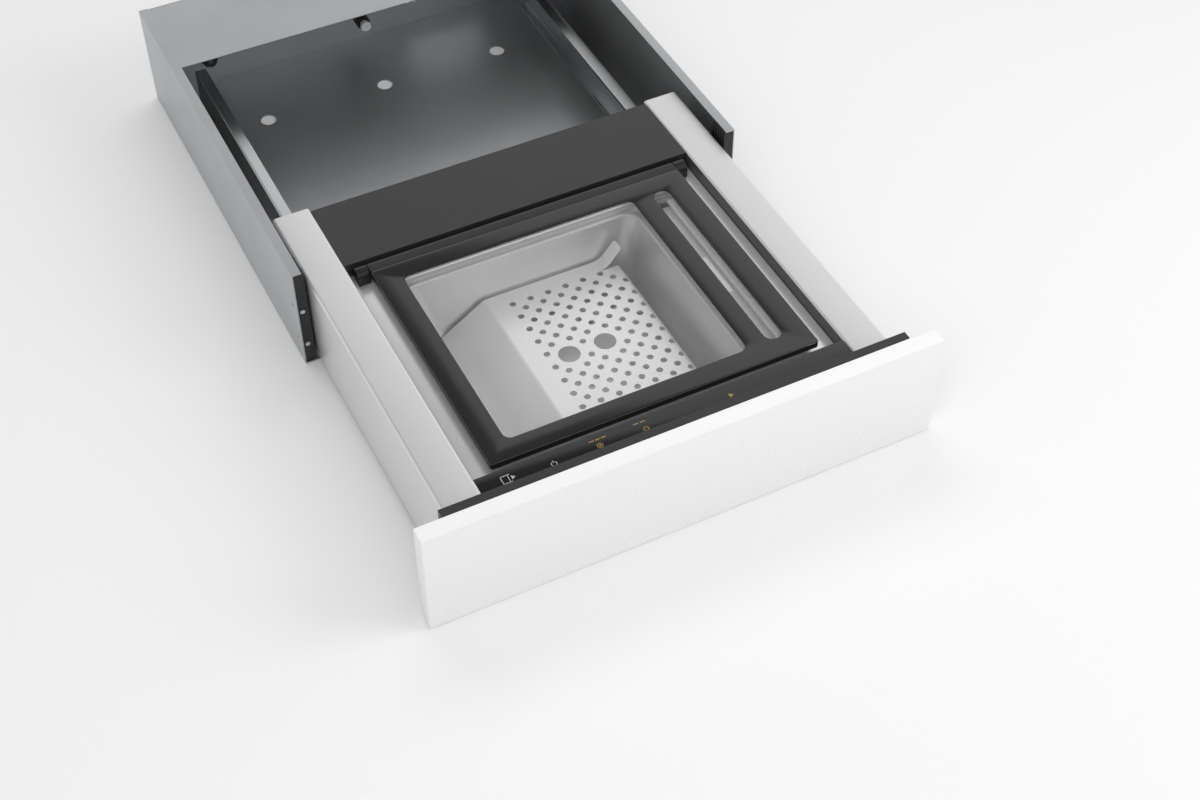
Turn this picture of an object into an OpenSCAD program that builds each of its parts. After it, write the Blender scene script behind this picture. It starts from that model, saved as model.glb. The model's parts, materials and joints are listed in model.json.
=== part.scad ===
// Vacuum sealing drawer: a push-to-open drawer on telescopic rails with a glass-lidded
// vacuum chamber, a sealing bar, a control strip and the pump that empties the chamber.
// Millimetres. Z is up, the front faces -Y. The origin is the centre of the housing's underside.
// The drawer is drawn open by the travel, and the lid is drawn closed.

/* [Front] */
// Width of the front panel
front_w = 595; // [585:1:640]
// Height of the front panel
front_h = 140; // [138:1:160]
// Thickness of the front panel
front_t = 19.5; // [16:0.5:25]
// Bevel along the front panel's front edges
front_bevel = 1.2; // [0.5:0.1:3]
// How far the black carrier reaches past each side wall
carrier_over = 9; // [4:0.5:14]
// Depth of the carrier
carrier_d = 10; // [8:0.5:14]
// Height of the carrier above the floor
carrier_low = 20; // [14:1:30]

/* [Housing] */
// Space for the rails on each side of the drawer box
rail_room = 18; // [17:0.5:30]
// Depth of the housing
house_d = 545; // [500:1:600]
// Height of the housing
house_h = 136; // [134:1:140]
// Thickness of the housing's sheet metal
house_sheet = 1.2; // [0.8:0.1:1.6]
// How far the drawer is pulled out in the drawn pose
travel = 375; // [300:1:380]
// Gap between the carrier and the housing when the drawer is closed
closed_gap = 0.5; // [0.5:0.1:3]
// Thickness of the black mounting strips at the housing's front
strip_t = 12; // [8:0.5:12]
// Depth of the mounting strips
strip_d = 30; // [20:1:50]
// Distance between the two cabinet screw holes of a strip
strip_hole_gap = 50; // [30:1:60]
// Height of the middle between the two cabinet screw holes
strip_hole_z = 56; // [50:1:80]
// Diameter of the cabinet screw holes
strip_hole_d = 4.5; // [3:0.5:6]

/* [Drawer box] */
// Width of the deck left and right of the lid
lid_side = 23; // [22.5:0.5:30]
// Space behind the side walls, for the latch and the mains cable
rear_room = 57; // [50:1:80]
// Width of one hollow side wall
wall_w = 42.8; // [38:0.2:44]
// How far the side walls' tops lie below the front panel's top edge
wall_drop = 19.6; // [16:0.2:22]
// Height of the side walls' lower edges above the floor
wall_low = 6; // [5:0.5:8]
// Thickness of the drawer's sheet metal
sheet = 1.2; // [0.8:0.1:1.5]
// Outer bend radius along the side walls' top edges
bend_r = 3; // [2:0.5:4]
// How far the deck lies below the tops of the side walls
deck_drop = 18.2; // [17:0.2:22]

/* [Control strip] */
// Depth of the control glass
control_d = 34.8; // [30:0.2:35]
// Thickness of the control glass
control_t = 3; // [2:0.5:4]
// Number of touch keys
keys = 6; // [3:1:8]

/* [Lid] */
// Width of the glass lid, which the drawer box and the housing follow
lid_w = 382.8; // [346:0.2:416]
// Thickness of the glass lid
lid_t = 8; // [6:0.5:8.5]
// Gap between the control glass and the lid
lid_gap = 9.3; // [6:0.1:10]
// Opening angle of the lid
lid_open = 60; // [30:1:65]
// Corner radius of the clear window
win_r = 9; // [4:0.5:14]
// Width of the black border left of the window
border_left = 27.9; // [26:0.1:29]
// Width of the black border in front of the window
border_front = 24.1; // [23:0.1:26]
// Width of the black border and lid edge behind the window
border_back = 25.2; // [24.8:0.1:34]
// Width of the black border right of the sealing window
border_right = 27.7; // [26:0.1:34]
// Width of the sealing window
slot_w = 20.5; // [14:0.5:22]
// Black bridge between the two windows
slot_gap = 24.7; // [22:0.1:26]
// Radius of the hinge bar
hinge_r = 8.4; // [7.5:0.1:8.8]
// Radius of the hinge pins
pin_r = 3; // [2:0.1:4]
// Running clearance of every pin in its hole, on the radius
run_gap = 0.05; // [0.02:0.01:0.1]

/* [Chamber] */
// Depth of the chamber tank below the deck's top
tank_depth = 83; // [76:0.5:84]
// Width that the tank's opening is wider than the window
tank_extra = 6; // [2:0.5:7]
// How far each tank wall leans in from top to bottom
tank_lean = 20; // [12:0.5:24]
// Radius between the tank's floor and walls
tank_fillet = 20; // [14:0.5:24]
// Corner radius of the tank's opening, which grows towards the floor
tank_corner = 18; // [12:1:24]
// Width of the tank's flange under the deck
tank_flange = 6; // [4:0.5:7]
// Width of the chamber gasket
gasket_w = 8; // [6:0.5:9]
// Height of the perforated insert above the tank's floor
insert_h = 41; // [36:0.5:44]
// Slope angle of the insert's ramp
ramp_angle = 26; // [22:1:28]
// Pitch of the perforation along one row
perf_pitch = 22.04; // [20:0.02:23]
// Diameter of the small holes
perf_d = 7.4; // [5:0.1:9]
// Diameter of the two finger holes
finger_d = 25; // [20:0.5:26]

/* [Sealing bar] */
// Width of the sealing bar
bar_w = 21; // [16:0.5:22]
// How much shorter the sealing bar is than the window
bar_short = 14; // [8:1:40]
// Height of the sealing bar
bar_h = 12; // [10:0.5:14]
// Upward stroke of the sealing bar
bar_stroke = 5.8; // [4:0.1:6]
// Length of the bag clip in the middle of the bar
clip_l = 62; // [50:1:80]
// Depth of the bar's trough below the deck's top
trough_depth = 24; // [22:0.5:27]

/* [Rails] */
// Height of the fixed rail
rail_h = 45; // [42:0.5:46]
// Wall thickness of the rails
rail_t = 1.8; // [1.5:0.1:2]
// Height of the rails' centre line
rail_z = 46; // [44:0.5:56]
// Length of the fixed rail
rail_l = 480; // [440:1:500]
// Diameter of the rail balls
ball_d = 3.1; // [2.8:0.1:3.2]

/* [Pump and fan] */
// Depth of the pump bay behind the hinge
bay_d = 103.3; // [100:0.1:130]
// Radius of the pump motor
motor_r = 36; // [30:0.5:38]
// Length of the pump motor
motor_l = 110; // [90:1:120]
// Side of the square fan frame
fan_size = 80; // [70:1:84]
// Number of fan blades
fan_blades = 7; // [5:1:11]

/* [Hidden] */

$fn = 48;
eps = 0.01;
seat = 0.1;      // gap left between pieces that are screwed or welded face to face
air = 0.3;       // gap left between pieces that move past or rest on each other
web = 2;         // wall of the black front carrier

// Places along the depth of the drawer, counted from the back of the front panel
drawer_y = -(house_d / 2 + closed_gap + carrier_d + travel);
box_l = house_d - rear_room;
wall_y = carrier_d + air;
wall_end = wall_y + box_l;
control_y = carrier_d + 0.4;
control_end = control_y + control_d;
rear_y = wall_end - 4;
cover_y = rear_y - bay_d;
hinge_y = cover_y - hinge_r - 2.6;
deck_end = cover_y + 4;
lid_y = control_end + lid_gap;
lid_end = hinge_y - hinge_r - 1.6;
lid_l = lid_end - lid_y;
win_l = lid_l - border_front - border_back;
pan_end = rear_y - sheet - seat;
bay_y = (cover_y + rear_y) / 2;

// Heights
top_z = front_h - wall_drop;
deck_z = top_z - deck_drop;
deck_under = deck_z - sheet;
film_t = 0.3;
film_z = top_z - film_t;
lid_under = film_z - lid_t;
control_under = top_z - control_t;
hinge_z = top_z - hinge_r;
pan_top = wall_low + sheet;
tank_floor = deck_z - tank_depth;
tank_sheet = 1;
tank_under = tank_floor - tank_sheet;
insert_top = tank_floor + insert_h;

// Half widths
deck_x = lid_w / 2 + lid_side;
inner_x = deck_x + 0.8;
box_x = inner_x + wall_w;
house_x = box_x + rail_room;
house_w = 2 * house_x;
carrier_w = 2 * (box_x + carrier_over);
strip_x = house_x - house_sheet - seat;
strip_screw_x = strip_x - 4.4;
strip_screw_r = 1.4;

// The two windows and what lies under them
win_w = lid_w - border_left - slot_gap - slot_w - border_right;
win_x = -lid_w / 2 + border_left + win_w / 2;
glass_y = lid_y + border_front + win_l / 2;
well_l = win_l - 2.2;
win_y = lid_y + border_front + well_l / 2;
slot_x = win_x + win_w / 2 + slot_gap + slot_w / 2;
slot_l = win_l - 1;
bar_l = well_l - bar_short;
tank_w = win_w + tank_extra;
tank_l = well_l + tank_extra;
bar_x = slot_x + 4;
trough_w = bar_w + 9;
trough_l = bar_l + 20;
trough_floor = deck_z - trough_depth;
bar_top = lid_under - 4.5 - air - bar_stroke;
rod_in = 22;
band_x = bar_x + 3.5;
band_w = 5;
band_l = bar_l - 24;
clip_x = bar_x + 2;
gasket_out_l = lid_l - 18;
gasket_y = lid_y + 4.5 + gasket_out_l / 2;
gasket_left = win_x - tank_w / 2 - tank_flange - gasket_w;
gasket_right = bar_x + trough_w / 2 + 5 + gasket_w;

// Perforation, counted from the middle of the pattern
perf_edge = 20;
ramp_room = 127;
perf_cols = floor((win_w - ramp_room) / perf_pitch);
perf_y = win_y;

// Folded perforated insert
insert_l = tank_l - 2 * lean(insert_top) - 10;
perf_rows = 1 + floor((insert_l - 2 * perf_edge) / perf_pitch);
edge_r = 6;          // bend along the right edge, and the flange below it
edge_drop = 16;
ear_w = 17;          // upturned corner lugs at the right
ear_gap = 0.8;
ear_r = 20;
ear_turn = 50;
ear_run = 28.5;
perf_side = 5.98;
flat_right = win_x + tank_w / 2 - lean(insert_top) - 23.02;
perf_x = flat_right - perf_pitch * (perf_cols - 1) / 2 - perf_side;
flat_left = perf_x - perf_pitch * (perf_cols / 2 + 0.6);
ramp_in = 12;
ramp_out = 6;
ramp_corner = 9;
ear_corner = 4;
ramp_foot = win_x - tank_w / 2 + 28;
ramp_run = flat_left - ramp_foot - (ramp_in + ramp_out) * sin(ramp_angle);
insert_low = insert_top - (ramp_in + ramp_out) * (1 - cos(ramp_angle)) - ramp_run * tan(ramp_angle);
foot_half = insert_l / 2 - lean(insert_low) + lean(insert_top) - 1.5;

// Rails, from the drawer's inner sheet outwards
rail_gap = 3.5;
inner_h = rail_h - 2 * (1.5 + rail_gap) - 2 * (1.5 + rail_gap);
inner_web = inner_x + sheet + seat;
lip_in = inner_web + 3;
inner_lip_out = inner_web + 7.9;
middle_web = inner_lip_out + 1.9;
outer_web = middle_web + rail_t + 1.7;
bracket_x = outer_web + rail_t + seat;
bracket_t = 2;
rail_y = -house_d / 2 + 4;
cage_l = rail_l / 4;
cage_y = (rail_l - cage_l) / 2 + 25;
balls = 6;

// Push latch
latch_z = 60;
latch_stroke = 4;
latch_tip = drawer_y + travel + rear_y + air;
latch_head = 4;
latch_r = 5;
latch_y = latch_tip + latch_head + latch_stroke + air;
latch_guide = 28;

// Pump bay
motor_gap = 10.2;
motor_x = -(inner_x - motor_gap - motor_l / 2);
motor_z = pan_top + 8 + motor_r;
head_w = 58;
head_x = motor_x + motor_l / 2 + 1;
fan_side = 83.2;
fan_x = inner_x - fan_side;
fan_z = pan_top + seat + fan_size / 2;
fan_t = 25;
fan_y = rear_y - sheet - seat - fan_t;
hub_r = 13;
blade_r = fan_size / 2 - 4;
valve_x = 30;
core_w = 58;
core_d = 46;
core_h = 56;
core_leg = 12;
hose_r = 4;
hose_bore = 2.5;
port_x = valve_x;
port_in = 60;
port_y = win_y + tank_l / 2 - port_in;
hose_z = tank_under - 5.6;
neck_r = 5;
valve_y = cover_y + 30;
valve_w = 24;
valve_h = 34;
pump_hose_z = pan_top + 26;
power_y = cover_y + 6;
barb_r = hose_bore - 0.1;

// Cable under the deck, from the power board to the control strip
cable_w = 16;
cable_x = deck_x - 30;
cable_y = carrier_d + 19;
cable_t = 1.2;

// Control board
key_floor = deck_z + seat + 2;
board_under = key_floor + 5 + seat;
board_t = 1.6;
key_z = board_under + board_t;
key_edge = 34.4;
key_pitch = 2 * (deck_x - key_edge) / keys;

// Mains cable gland in the rear panel
gland_r = 8;
gland_x = -(house_x - 76);
gland_z = 40;
cable_hole_r = 4;

function arc(cx, cz, r, from, to, n) =
  [for (i = [0:n]) let (a = from + (to - from) * i / n) [cx + r * cos(a), cz + r * sin(a)]];
function key_x(i) = win_x + key_pitch * (i - (keys - 1) / 2);

// Helpers
module block(x, y, z) {
  translate([x[0], y[0], z[0]]) cube([x[1] - x[0], y[1] - y[0], z[1] - z[0]]);
}
module both_sides() {
  children();
  mirror([1, 0, 0]) children();
}
module at_drawer() {
  translate([0, drawer_y, 0]) children();
}
// A flat outline in X and Z, drawn out along Y
module along_y(from, to) {
  translate([0, to, 0]) rotate([90, 0, 0]) linear_extrude(to - from) children();
}
// A flat outline in Y and Z, drawn out along X
module along_x(from, to) {
  translate([from, 0, 0]) rotate([90, 0, 90]) linear_extrude(to - from) children();
}
module rod_y(x, z, r, from, to) {
  translate([x, to, z]) rotate([90, 0, 0]) cylinder(r = r, h = to - from);
}
module rod_x(y, z, r, from, to) {
  translate([from, y, z]) rotate([0, 90, 0]) cylinder(r = r, h = to - from);
}
module rounded(w, l, r) {
  square([w - 2 * r, l], center = true);
  square([w, l - 2 * r], center = true);
  for (x = [-1, 1]) {
    for (y = [-1, 1]) {
      translate([x * (w / 2 - r), y * (l / 2 - r)]) circle(r);
    }
  }
}
module stadium(w, l) {
  square([w, l - w], center = true);
  for (y = [-1, 1]) {
    translate([0, y * (l - w) / 2]) circle(w / 2);
  }
}
module round_top(x0, x1, z0, z1, r) {
  translate([x0, z0]) square([x1 - x0, z1 - z0 - r]);
  translate([x0 + r, z0]) square([x1 - x0 - 2 * r, z1 - z0]);
  for (x = [x0 + r, x1 - r]) {
    translate([x, z1 - r]) circle(r);
  }
}
// A channel with its open side towards -X when dir is -1, or towards +X when dir is 1
module channel(x_web, x_lip, height, t_web, t_lip, dir) {
  x0 = dir < 0 ? x_web : x_web - t_web;
  translate([x0, rail_z - height / 2]) square([t_web, height]);
  for (z = [rail_z - height / 2, rail_z + height / 2 - t_lip]) {
    translate([min(x_web, x_lip), z]) square([abs(x_web - x_lip), t_lip]);
  }
}

// Housing
module base_pan() {
  color("lightgray") {
    difference() {
      block([-house_x, house_x], [-house_d / 2, house_d / 2], [0, house_sheet]);
      for (x = [-1, 0, 1]) {
        for (y = [-1, 1]) {
          translate([x * house_w / 3.4, y * house_d / 3.4, -eps])
            cylinder(d = 20, h = house_sheet + 2 * eps);
        }
      }
    }
  }
}

module side_panels() {
  fold = 10;
  color("lightgray") {
    both_sides() {
      difference() {
        union() {
          block([house_x - house_sheet, house_x], [-house_d / 2, house_d / 2],
                [house_sheet + seat, house_h]);
          block([house_x - house_sheet - fold, house_x - house_sheet],
                [-house_d / 2 + strip_d + 4, house_d / 2 - 4],
                [house_sheet + seat, 2 * house_sheet + seat]);
          block([house_x - house_sheet - fold, house_x - house_sheet],
                [-house_d / 2, house_d / 2], [house_h - house_sheet, house_h]);
        }
        strip_holes(strip_hole_d / 2);
      }
    }
  }
}

// Two rows of holes through a strip: the outer pair takes the cabinet screws
module strip_holes(r) {
  for (z = [-1, 1]) {
    rod_x(-house_d / 2 + strip_d / 2, strip_hole_z + z * strip_hole_gap / 2, r,
          house_x - 30, house_x + 1);
  }
}

module rear_panel() {
  slots = 12;
  color("lightgray") {
    difference() {
      block([-house_x + house_sheet + seat, house_x - house_sheet - seat],
            [house_d / 2 - house_sheet, house_d / 2],
            [house_sheet + seat, house_h - house_sheet - seat]);
      for (i = [0:slots - 1]) {
        translate([fan_x + (i - (slots - 1) / 2) * 9, house_d / 2, house_h / 2])
          rotate([90, 0, 0]) translate([0, 0, -1])
            linear_extrude(house_sheet + 2) stadium(4, 70);
      }
      rod_y(gland_x, gland_z, gland_r, house_d / 2 - 2, house_d / 2 + 1);
    }
  }
}

module top_brace() {
  color("lightgray") {
    block([-house_x + house_sheet + seat, house_x - house_sheet - seat],
          [drawer_y + travel + cover_y + 30, house_d / 2 - house_sheet - seat],
          [house_h - 2 * house_sheet - seat, house_h - house_sheet - seat]);
  }
}

module mount_strips() {
  ribs = 5;
  low = 2 * house_sheet + 3;
  high = house_h - house_sheet - seat;
  color("#151515") {
    both_sides() {
      difference() {
        block([strip_x - strip_t, strip_x], [-house_d / 2, -house_d / 2 + strip_d], [low, high]);
        for (i = [0:ribs - 1]) {
          block([strip_x - strip_t - 1, strip_x - strip_t + 0.8],
                [-house_d / 2 + 3 + i * 5.2, -house_d / 2 + 5 + i * 5.2],
                [low - 1, high + 1]);
        }
        strip_holes(strip_hole_d / 2);
        for (z = [-1, 1]) {
          rod_y(strip_screw_x, strip_hole_z + z * strip_hole_gap / 2, strip_screw_r + run_gap,
                -house_d / 2 - 1, -house_d / 2 + 10);
        }
      }
    }
  }
}

// Small screws seen from the front
module strip_screws() {
  color("silver") {
    both_sides() {
      for (z = [-1, 1]) {
        rod_y(strip_screw_x, strip_hole_z + z * strip_hole_gap / 2, strip_screw_r,
              -house_d / 2 - seat, -house_d / 2 + 9);
        rod_y(strip_screw_x, strip_hole_z + z * strip_hole_gap / 2, 2 * strip_screw_r,
              -house_d / 2 - seat - 1.4, -house_d / 2 - seat);
      }
    }
  }
}

module rail_brackets() {
  foot = 16;
  color("gray") {
    both_sides() {
      difference() {
        union() {
          block([bracket_x, bracket_x + foot], [rail_y, rail_y + rail_l],
                [house_sheet + seat, house_sheet + seat + bracket_t]);
          block([bracket_x, bracket_x + bracket_t], [rail_y, rail_y + rail_l],
                [house_sheet + seat, rail_z + rail_h / 2]);
        }
        for (i = [0:3]) {
          translate([bracket_x + foot / 2 + 2, rail_y + rail_l * (i + 0.5) / 4, 0])
            cylinder(r = 2.2, h = 10);
        }
      }
    }
  }
}

module outer_rails() {
  color("silver") {
    both_sides() {
      along_y(rail_y, rail_y + rail_l)
        channel(outer_web, lip_in, rail_h, rail_t, 1.5, -1);
    }
  }
}

module latch_body() {
  color("#202020") {
    difference() {
      union() {
        rod_y(0, latch_z, latch_r + 4, latch_y, house_d / 2 - house_sheet - seat);
        rod_y(0, latch_z, latch_r + 11, house_d / 2 - house_sheet - seat - 3,
              house_d / 2 - house_sheet - seat);
      }
      rod_y(0, latch_z, latch_r + run_gap, latch_y - 1, latch_y + latch_guide + 6);
    }
  }
}

module cable_gland() {
  color("#202020") {
    difference() {
      union() {
        rod_y(gland_x, gland_z, gland_r - 0.1, house_d / 2 - 14, house_d / 2);
        translate([gland_x, house_d / 2 - house_sheet - seat, gland_z])
          rotate([90, 0, 0]) cylinder(r = gland_r + 4, h = 7, $fn = 6);
      }
      rod_y(gland_x, gland_z, cable_hole_r, house_d / 2 - 30, house_d / 2 + 1);
    }
  }
}

// Rails between the housing and the drawer
module middle_rails() {
  middle_l = rail_l - 40;
  color("silver") {
    both_sides() {
      along_y(rail_y + 6 - travel / 2, rail_y + 6 - travel / 2 + middle_l)
        channel(middle_web, lip_in, rail_h - 2 * (1.5 + rail_gap), rail_t, 1.5, -1);
    }
  }
}

module ball_cage(x, gap_z, y) {
  for (s = [-1, 1]) {
    translate([x - 2.4, y, rail_z + s * gap_z - 0.4]) cube([4.8, cage_l, 0.8]);
    for (i = [0:balls - 1]) {
      translate([x, y + cage_l * (i + 0.5) / balls, rail_z + s * gap_z]) sphere(d = ball_d);
    }
  }
}

module outer_ball_cages() {
  color("goldenrod") {
    both_sides() {
      ball_cage(lip_in + 3.6, rail_h / 2 - 1.5 - rail_gap / 2, rail_y + cage_y - travel / 4);
    }
  }
}

module inner_ball_cages() {
  color("goldenrod") {
    both_sides() {
      ball_cage(lip_in + 2.5, inner_h / 2 + rail_gap / 2, rail_y + cage_y - travel * 3 / 4);
    }
  }
}

module latch_plunger() {
  color("whitesmoke") {
    rod_y(0, latch_z, latch_r + 2, latch_tip, latch_tip + latch_head);
    rod_y(0, latch_z, latch_r, latch_tip, latch_y + latch_guide);
  }
}

// Front of the drawer
module front_panel() {
  color("white") {
    at_drawer() {
      difference() {
        along_x(-front_w / 2, front_w / 2)
          polygon([[0, 0], [0, front_h], [-front_t + front_bevel, front_h],
                   [-front_t, front_h - front_bevel], [-front_t, front_bevel],
                   [-front_t + front_bevel, 0]]);
        front_screw_places() rod_y(0, 0, 2 + run_gap, -front_t * 0.6, 1);
      }
    }
  }
}

module front_screw_places() {
  for (x = [-3, -1, 1, 3]) {
    translate([x * carrier_w / 8.4, 0, front_h * 0.57]) children();
  }
}

module front_carrier() {
  color("#222222") {
    at_drawer() {
      difference() {
        block([-carrier_w / 2, carrier_w / 2], [seat, carrier_d], [carrier_low, front_h]);
        block([-carrier_w / 2 + web, carrier_w / 2 - web], [web, carrier_d + 1],
              [carrier_low + web, front_h - web]);
        front_screw_places() rod_y(0, 0, 2 + run_gap, -1, carrier_d);
      }
    }
  }
}

module front_screws() {
  color("silver") {
    at_drawer() {
      front_screw_places() {
        rod_y(0, 0, 2, -front_t * 0.6 + 1, web + seat);
        rod_y(0, 0, 4, web + seat, web + seat + 2.5);
      }
    }
  }
}

module front_brackets() {
  outer = box_x - sheet - seat;
  color("gray") {
    at_drawer() {
      both_sides() {
        block([outer - 3, outer], [web + seat, wall_y + 50], [40, deck_z]);
        block([outer - 16, outer - 3], [web + seat, web + seat + 2.5], [40, deck_z]);
      }
    }
  }
}

// Box of the drawer
module side_wall() {
  along_y(wall_y, wall_end) {
    difference() {
      round_top(inner_x, box_x, wall_low, top_z, bend_r);
      round_top(inner_x + sheet, box_x - sheet, wall_low - 1, top_z - sheet,
                max(bend_r - sheet, 0.2));
    }
  }
}
module side_wall_left() {
  color("gainsboro") at_drawer() mirror([1, 0, 0]) side_wall();
}
module side_wall_right() {
  color("gainsboro") at_drawer() side_wall();
}

module floor_pan() {
  x = inner_x - seat;
  flange = 14;
  color("lightgray") {
    at_drawer() {
      difference() {
        block([-x, x], [carrier_d + 2, pan_end], [wall_low, wall_low + flange]);
        block([-x + sheet, x - sheet], [carrier_d + 1, pan_end + 1],
              [pan_top, wall_low + flange + 1]);
      }
    }
  }
}

module rear_wall() {
  x = inner_x - seat;
  color("lightgray") {
    at_drawer() {
      difference() {
        union() {
          block([-x, x], [rear_y - sheet, rear_y], [wall_low, top_z - 2.2]);
          both_sides() {
            block([x - sheet, x], [rear_y - 16, rear_y - sheet],
                  [wall_low + 14 + seat, top_z - 2.2]);
          }
        }
        rod_y(fan_x, fan_z, fan_size / 2 - 3, rear_y - 3, rear_y + 1);
        for (i = [0:7]) {
          translate([-120 + i * 16, rear_y + 1, deck_z / 2]) rotate([90, 0, 0])
            linear_extrude(sheet + 3) stadium(5, 50);
        }
      }
      fan_guard();
    }
  }
}

// Two crossed bars over the fan opening of the rear wall
module fan_guard() {
  r = fan_size / 2 - 2;
  block([fan_x - 1.5, fan_x + 1.5], [rear_y - sheet, rear_y], [fan_z - r, fan_z + r]);
  block([fan_x - r, fan_x + r], [rear_y - sheet, rear_y], [fan_z - 1.5, fan_z + 1.5]);
}

module inner_rails() {
  color("silver") {
    at_drawer() {
      both_sides() {
        along_y(wall_y + 4, wall_y + 4 + rail_l - 22)
          channel(inner_web + rail_t, inner_lip_out - 0.4, inner_h, rail_t, 1.5, 1);
      }
    }
  }
}

module deck_ledges() {
  x = inner_x - seat;
  color("lightgray") {
    at_drawer() {
      both_sides() {
        block([x - sheet, x], [wall_y + 3, deck_end], [deck_under - 17, deck_under - seat]);
        block([x - 11, x - sheet], [wall_y + 3, deck_end],
              [deck_under - seat - sheet, deck_under - seat]);
      }
    }
  }
}

module deck_plate() {
  color("whitesmoke") {
    at_drawer() {
      difference() {
        block([-deck_x, deck_x], [carrier_d + 1, deck_end], [deck_under, deck_z]);
        translate([win_x, win_y, deck_under - 1])
          linear_extrude(sheet + 2) rounded(tank_w, tank_l, tank_corner);
        translate([bar_x, win_y, deck_under - 1])
          linear_extrude(sheet + 2) stadium(trough_w, trough_l);
        cable_slot();
      }
    }
  }
}

module cable_slot() {
  block([cable_x - 1, cable_x + cable_w + 1], [cable_y - 1, cable_y + cable_t + 1],
        [deck_under - 1, key_floor + 1]);
}

// Chamber
function lean(z) = tank_lean * (deck_under - z) / (deck_under - tank_floor);

module tank_form(grow) {
  steps = 5;
  hull() {
    for (i = [0:steps]) {
      a = 90 * i / steps;
      z = tank_floor - grow + (tank_fillet + grow) * (1 - cos(a));
      inset = lean(z) + (tank_fillet + grow) * (1 - sin(a)) - grow;
      translate([win_x, win_y, z]) linear_extrude(0.02)
        rounded(tank_w - 2 * inset, tank_l - 2 * inset, tank_corner + inset * 0.35, $fn = 32);
    }
    translate([win_x, win_y, deck_under - 0.02]) linear_extrude(0.02)
      rounded(tank_w + 2 * grow, tank_l + 2 * grow, tank_corner + grow, $fn = 32);
  }
}

module chamber_tank() {
  color("silver") {
    at_drawer() {
      difference() {
        union() {
          tank_form(tank_sheet);
          translate([win_x, win_y, deck_under - seat - tank_sheet]) linear_extrude(tank_sheet)
            rounded(tank_w + 2 * tank_flange, tank_l + 2 * tank_flange,
                    tank_corner + tank_flange, $fn = 32);
        }
        tank_form(0);
        translate([win_x, win_y, deck_under - 2]) linear_extrude(4)
          rounded(tank_w - 0.4, tank_l - 0.4, tank_corner, $fn = 32);
        translate([port_x, port_y, tank_under - 1]) cylinder(r = neck_r + run_gap, h = 4);
      }
    }
  }
}

module seal_trough() {
  t = tank_sheet;
  color("silver") {
    at_drawer() {
      translate([bar_x, win_y, 0]) {
        difference() {
          union() {
            translate([0, 0, trough_floor - t]) linear_extrude(deck_under - seat - trough_floor + t)
              stadium(trough_w, trough_l);
            translate([0, 0, deck_under - seat - t]) linear_extrude(t)
              stadium(trough_w + 9, trough_l + 9);
          }
          translate([0, 0, trough_floor]) linear_extrude(trough_depth)
            stadium(trough_w - 2 * t, trough_l - 2 * t);
          lift_places() cylinder(r = pin_r + 0.4, h = 2 * deck_z);
        }
      }
    }
  }
}

module lift_places() {
  for (y = [-1, 1]) {
    translate([0, y * bar_l * 0.36, 0]) children();
  }
}

module gasket_outline(inset) {
  w = gasket_right - gasket_left - 2 * inset;
  l = gasket_out_l - 2 * inset;
  translate([(gasket_left + gasket_right) / 2, gasket_y]) rounded(w, l, 22 - inset);
}
module chamber_gasket() {
  foot = 4;
  lip = 2;
  color("#a2a2a0") {
    at_drawer() {
      translate([0, 0, deck_z]) linear_extrude(foot) difference() {
        gasket_outline(0);
        gasket_outline(gasket_w);
      }
      translate([0, 0, deck_z + foot]) linear_extrude(lid_under - air - deck_z - foot)
        difference() {
          gasket_outline(lip);
          gasket_outline(gasket_w - lip);
        }
    }
  }
}

// Control strip
module control_glass() {
  color("#101010") {
    at_drawer() {
      block([-deck_x - 0.5, deck_x + 0.5], [control_y, control_end], [control_under, top_z]);
    }
  }
}

module control_housing() {
  t = 2;
  color("#1c1c1c") {
    at_drawer() {
      difference() {
        block([-deck_x + 0.6, deck_x - 0.6], [carrier_d + 1.4, control_end - 0.6],
              [deck_z + seat, control_under - seat]);
        block([-deck_x + 0.6 + t, deck_x - 0.6 - t], [carrier_d + 1.4 + t, control_end - 0.6 - t],
              [deck_z + seat + t, top_z]);
        cable_slot();
      }
      for (i = [0:keys]) {
        translate([key_x(i - 0.5), control_end - 9, key_floor]) cylinder(r = 2.5, h = 5);
      }
    }
  }
}

module control_board() {
  color("darkgreen") {
    at_drawer() {
      block([-deck_x + 24, deck_x - 24], [carrier_d + 5, control_end - 4],
            [board_under, key_z]);
    }
  }
}

module indicator_leds() {
  color("orange") {
    at_drawer() {
      for (i = [0:keys - 1]) {
        block([key_x(i) - 1.5, key_x(i) + 1.5], [control_end - 12, control_end - 9],
              [key_z, key_z + 1.5]);
      }
    }
  }
}

module touch_pads() {
  color("#404040") {
    at_drawer() {
      for (i = [0:keys - 1]) {
        translate([key_x(i), control_end - 18, key_z])
          cylinder(r = 5, h = control_under - air - key_z);
      }
    }
  }
}

module control_cable() {
  x = [cable_x, cable_x + cable_w];
  z = deck_under - air;
  color("#333333") {
    at_drawer() {
      block(x, [cable_y, power_y + 10], [z - cable_t, z]);
      block(x, [cable_y, cable_y + cable_t], [z - cable_t, board_under - seat]);
      block(x, [power_y + 10 - cable_t, power_y + 10], [pan_top + 9.8, z]);
    }
  }
}

// Hinge
module hinge_brackets() {
  x0 = lid_w / 2 + 0.6;
  color("#181818") {
    at_drawer() {
      both_sides() {
        difference() {
          union() {
            block([x0, x0 + 14], [hinge_y - hinge_r - 0.6, hinge_y + hinge_r + 0.6],
                  [deck_z + seat, hinge_z]);
            rod_x(hinge_y, hinge_z, hinge_r, x0, x0 + 14);
          }
          rod_x(hinge_y, hinge_z, pin_r + run_gap / 2, x0 - 1, x0 + 15);
        }
      }
    }
  }
}

module hinge_pins() {
  color("silver") {
    at_drawer() {
      both_sides() {
        rod_x(hinge_y, hinge_z, pin_r, lid_w / 2 - 12, lid_w / 2 + 13);
      }
    }
  }
}

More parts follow.
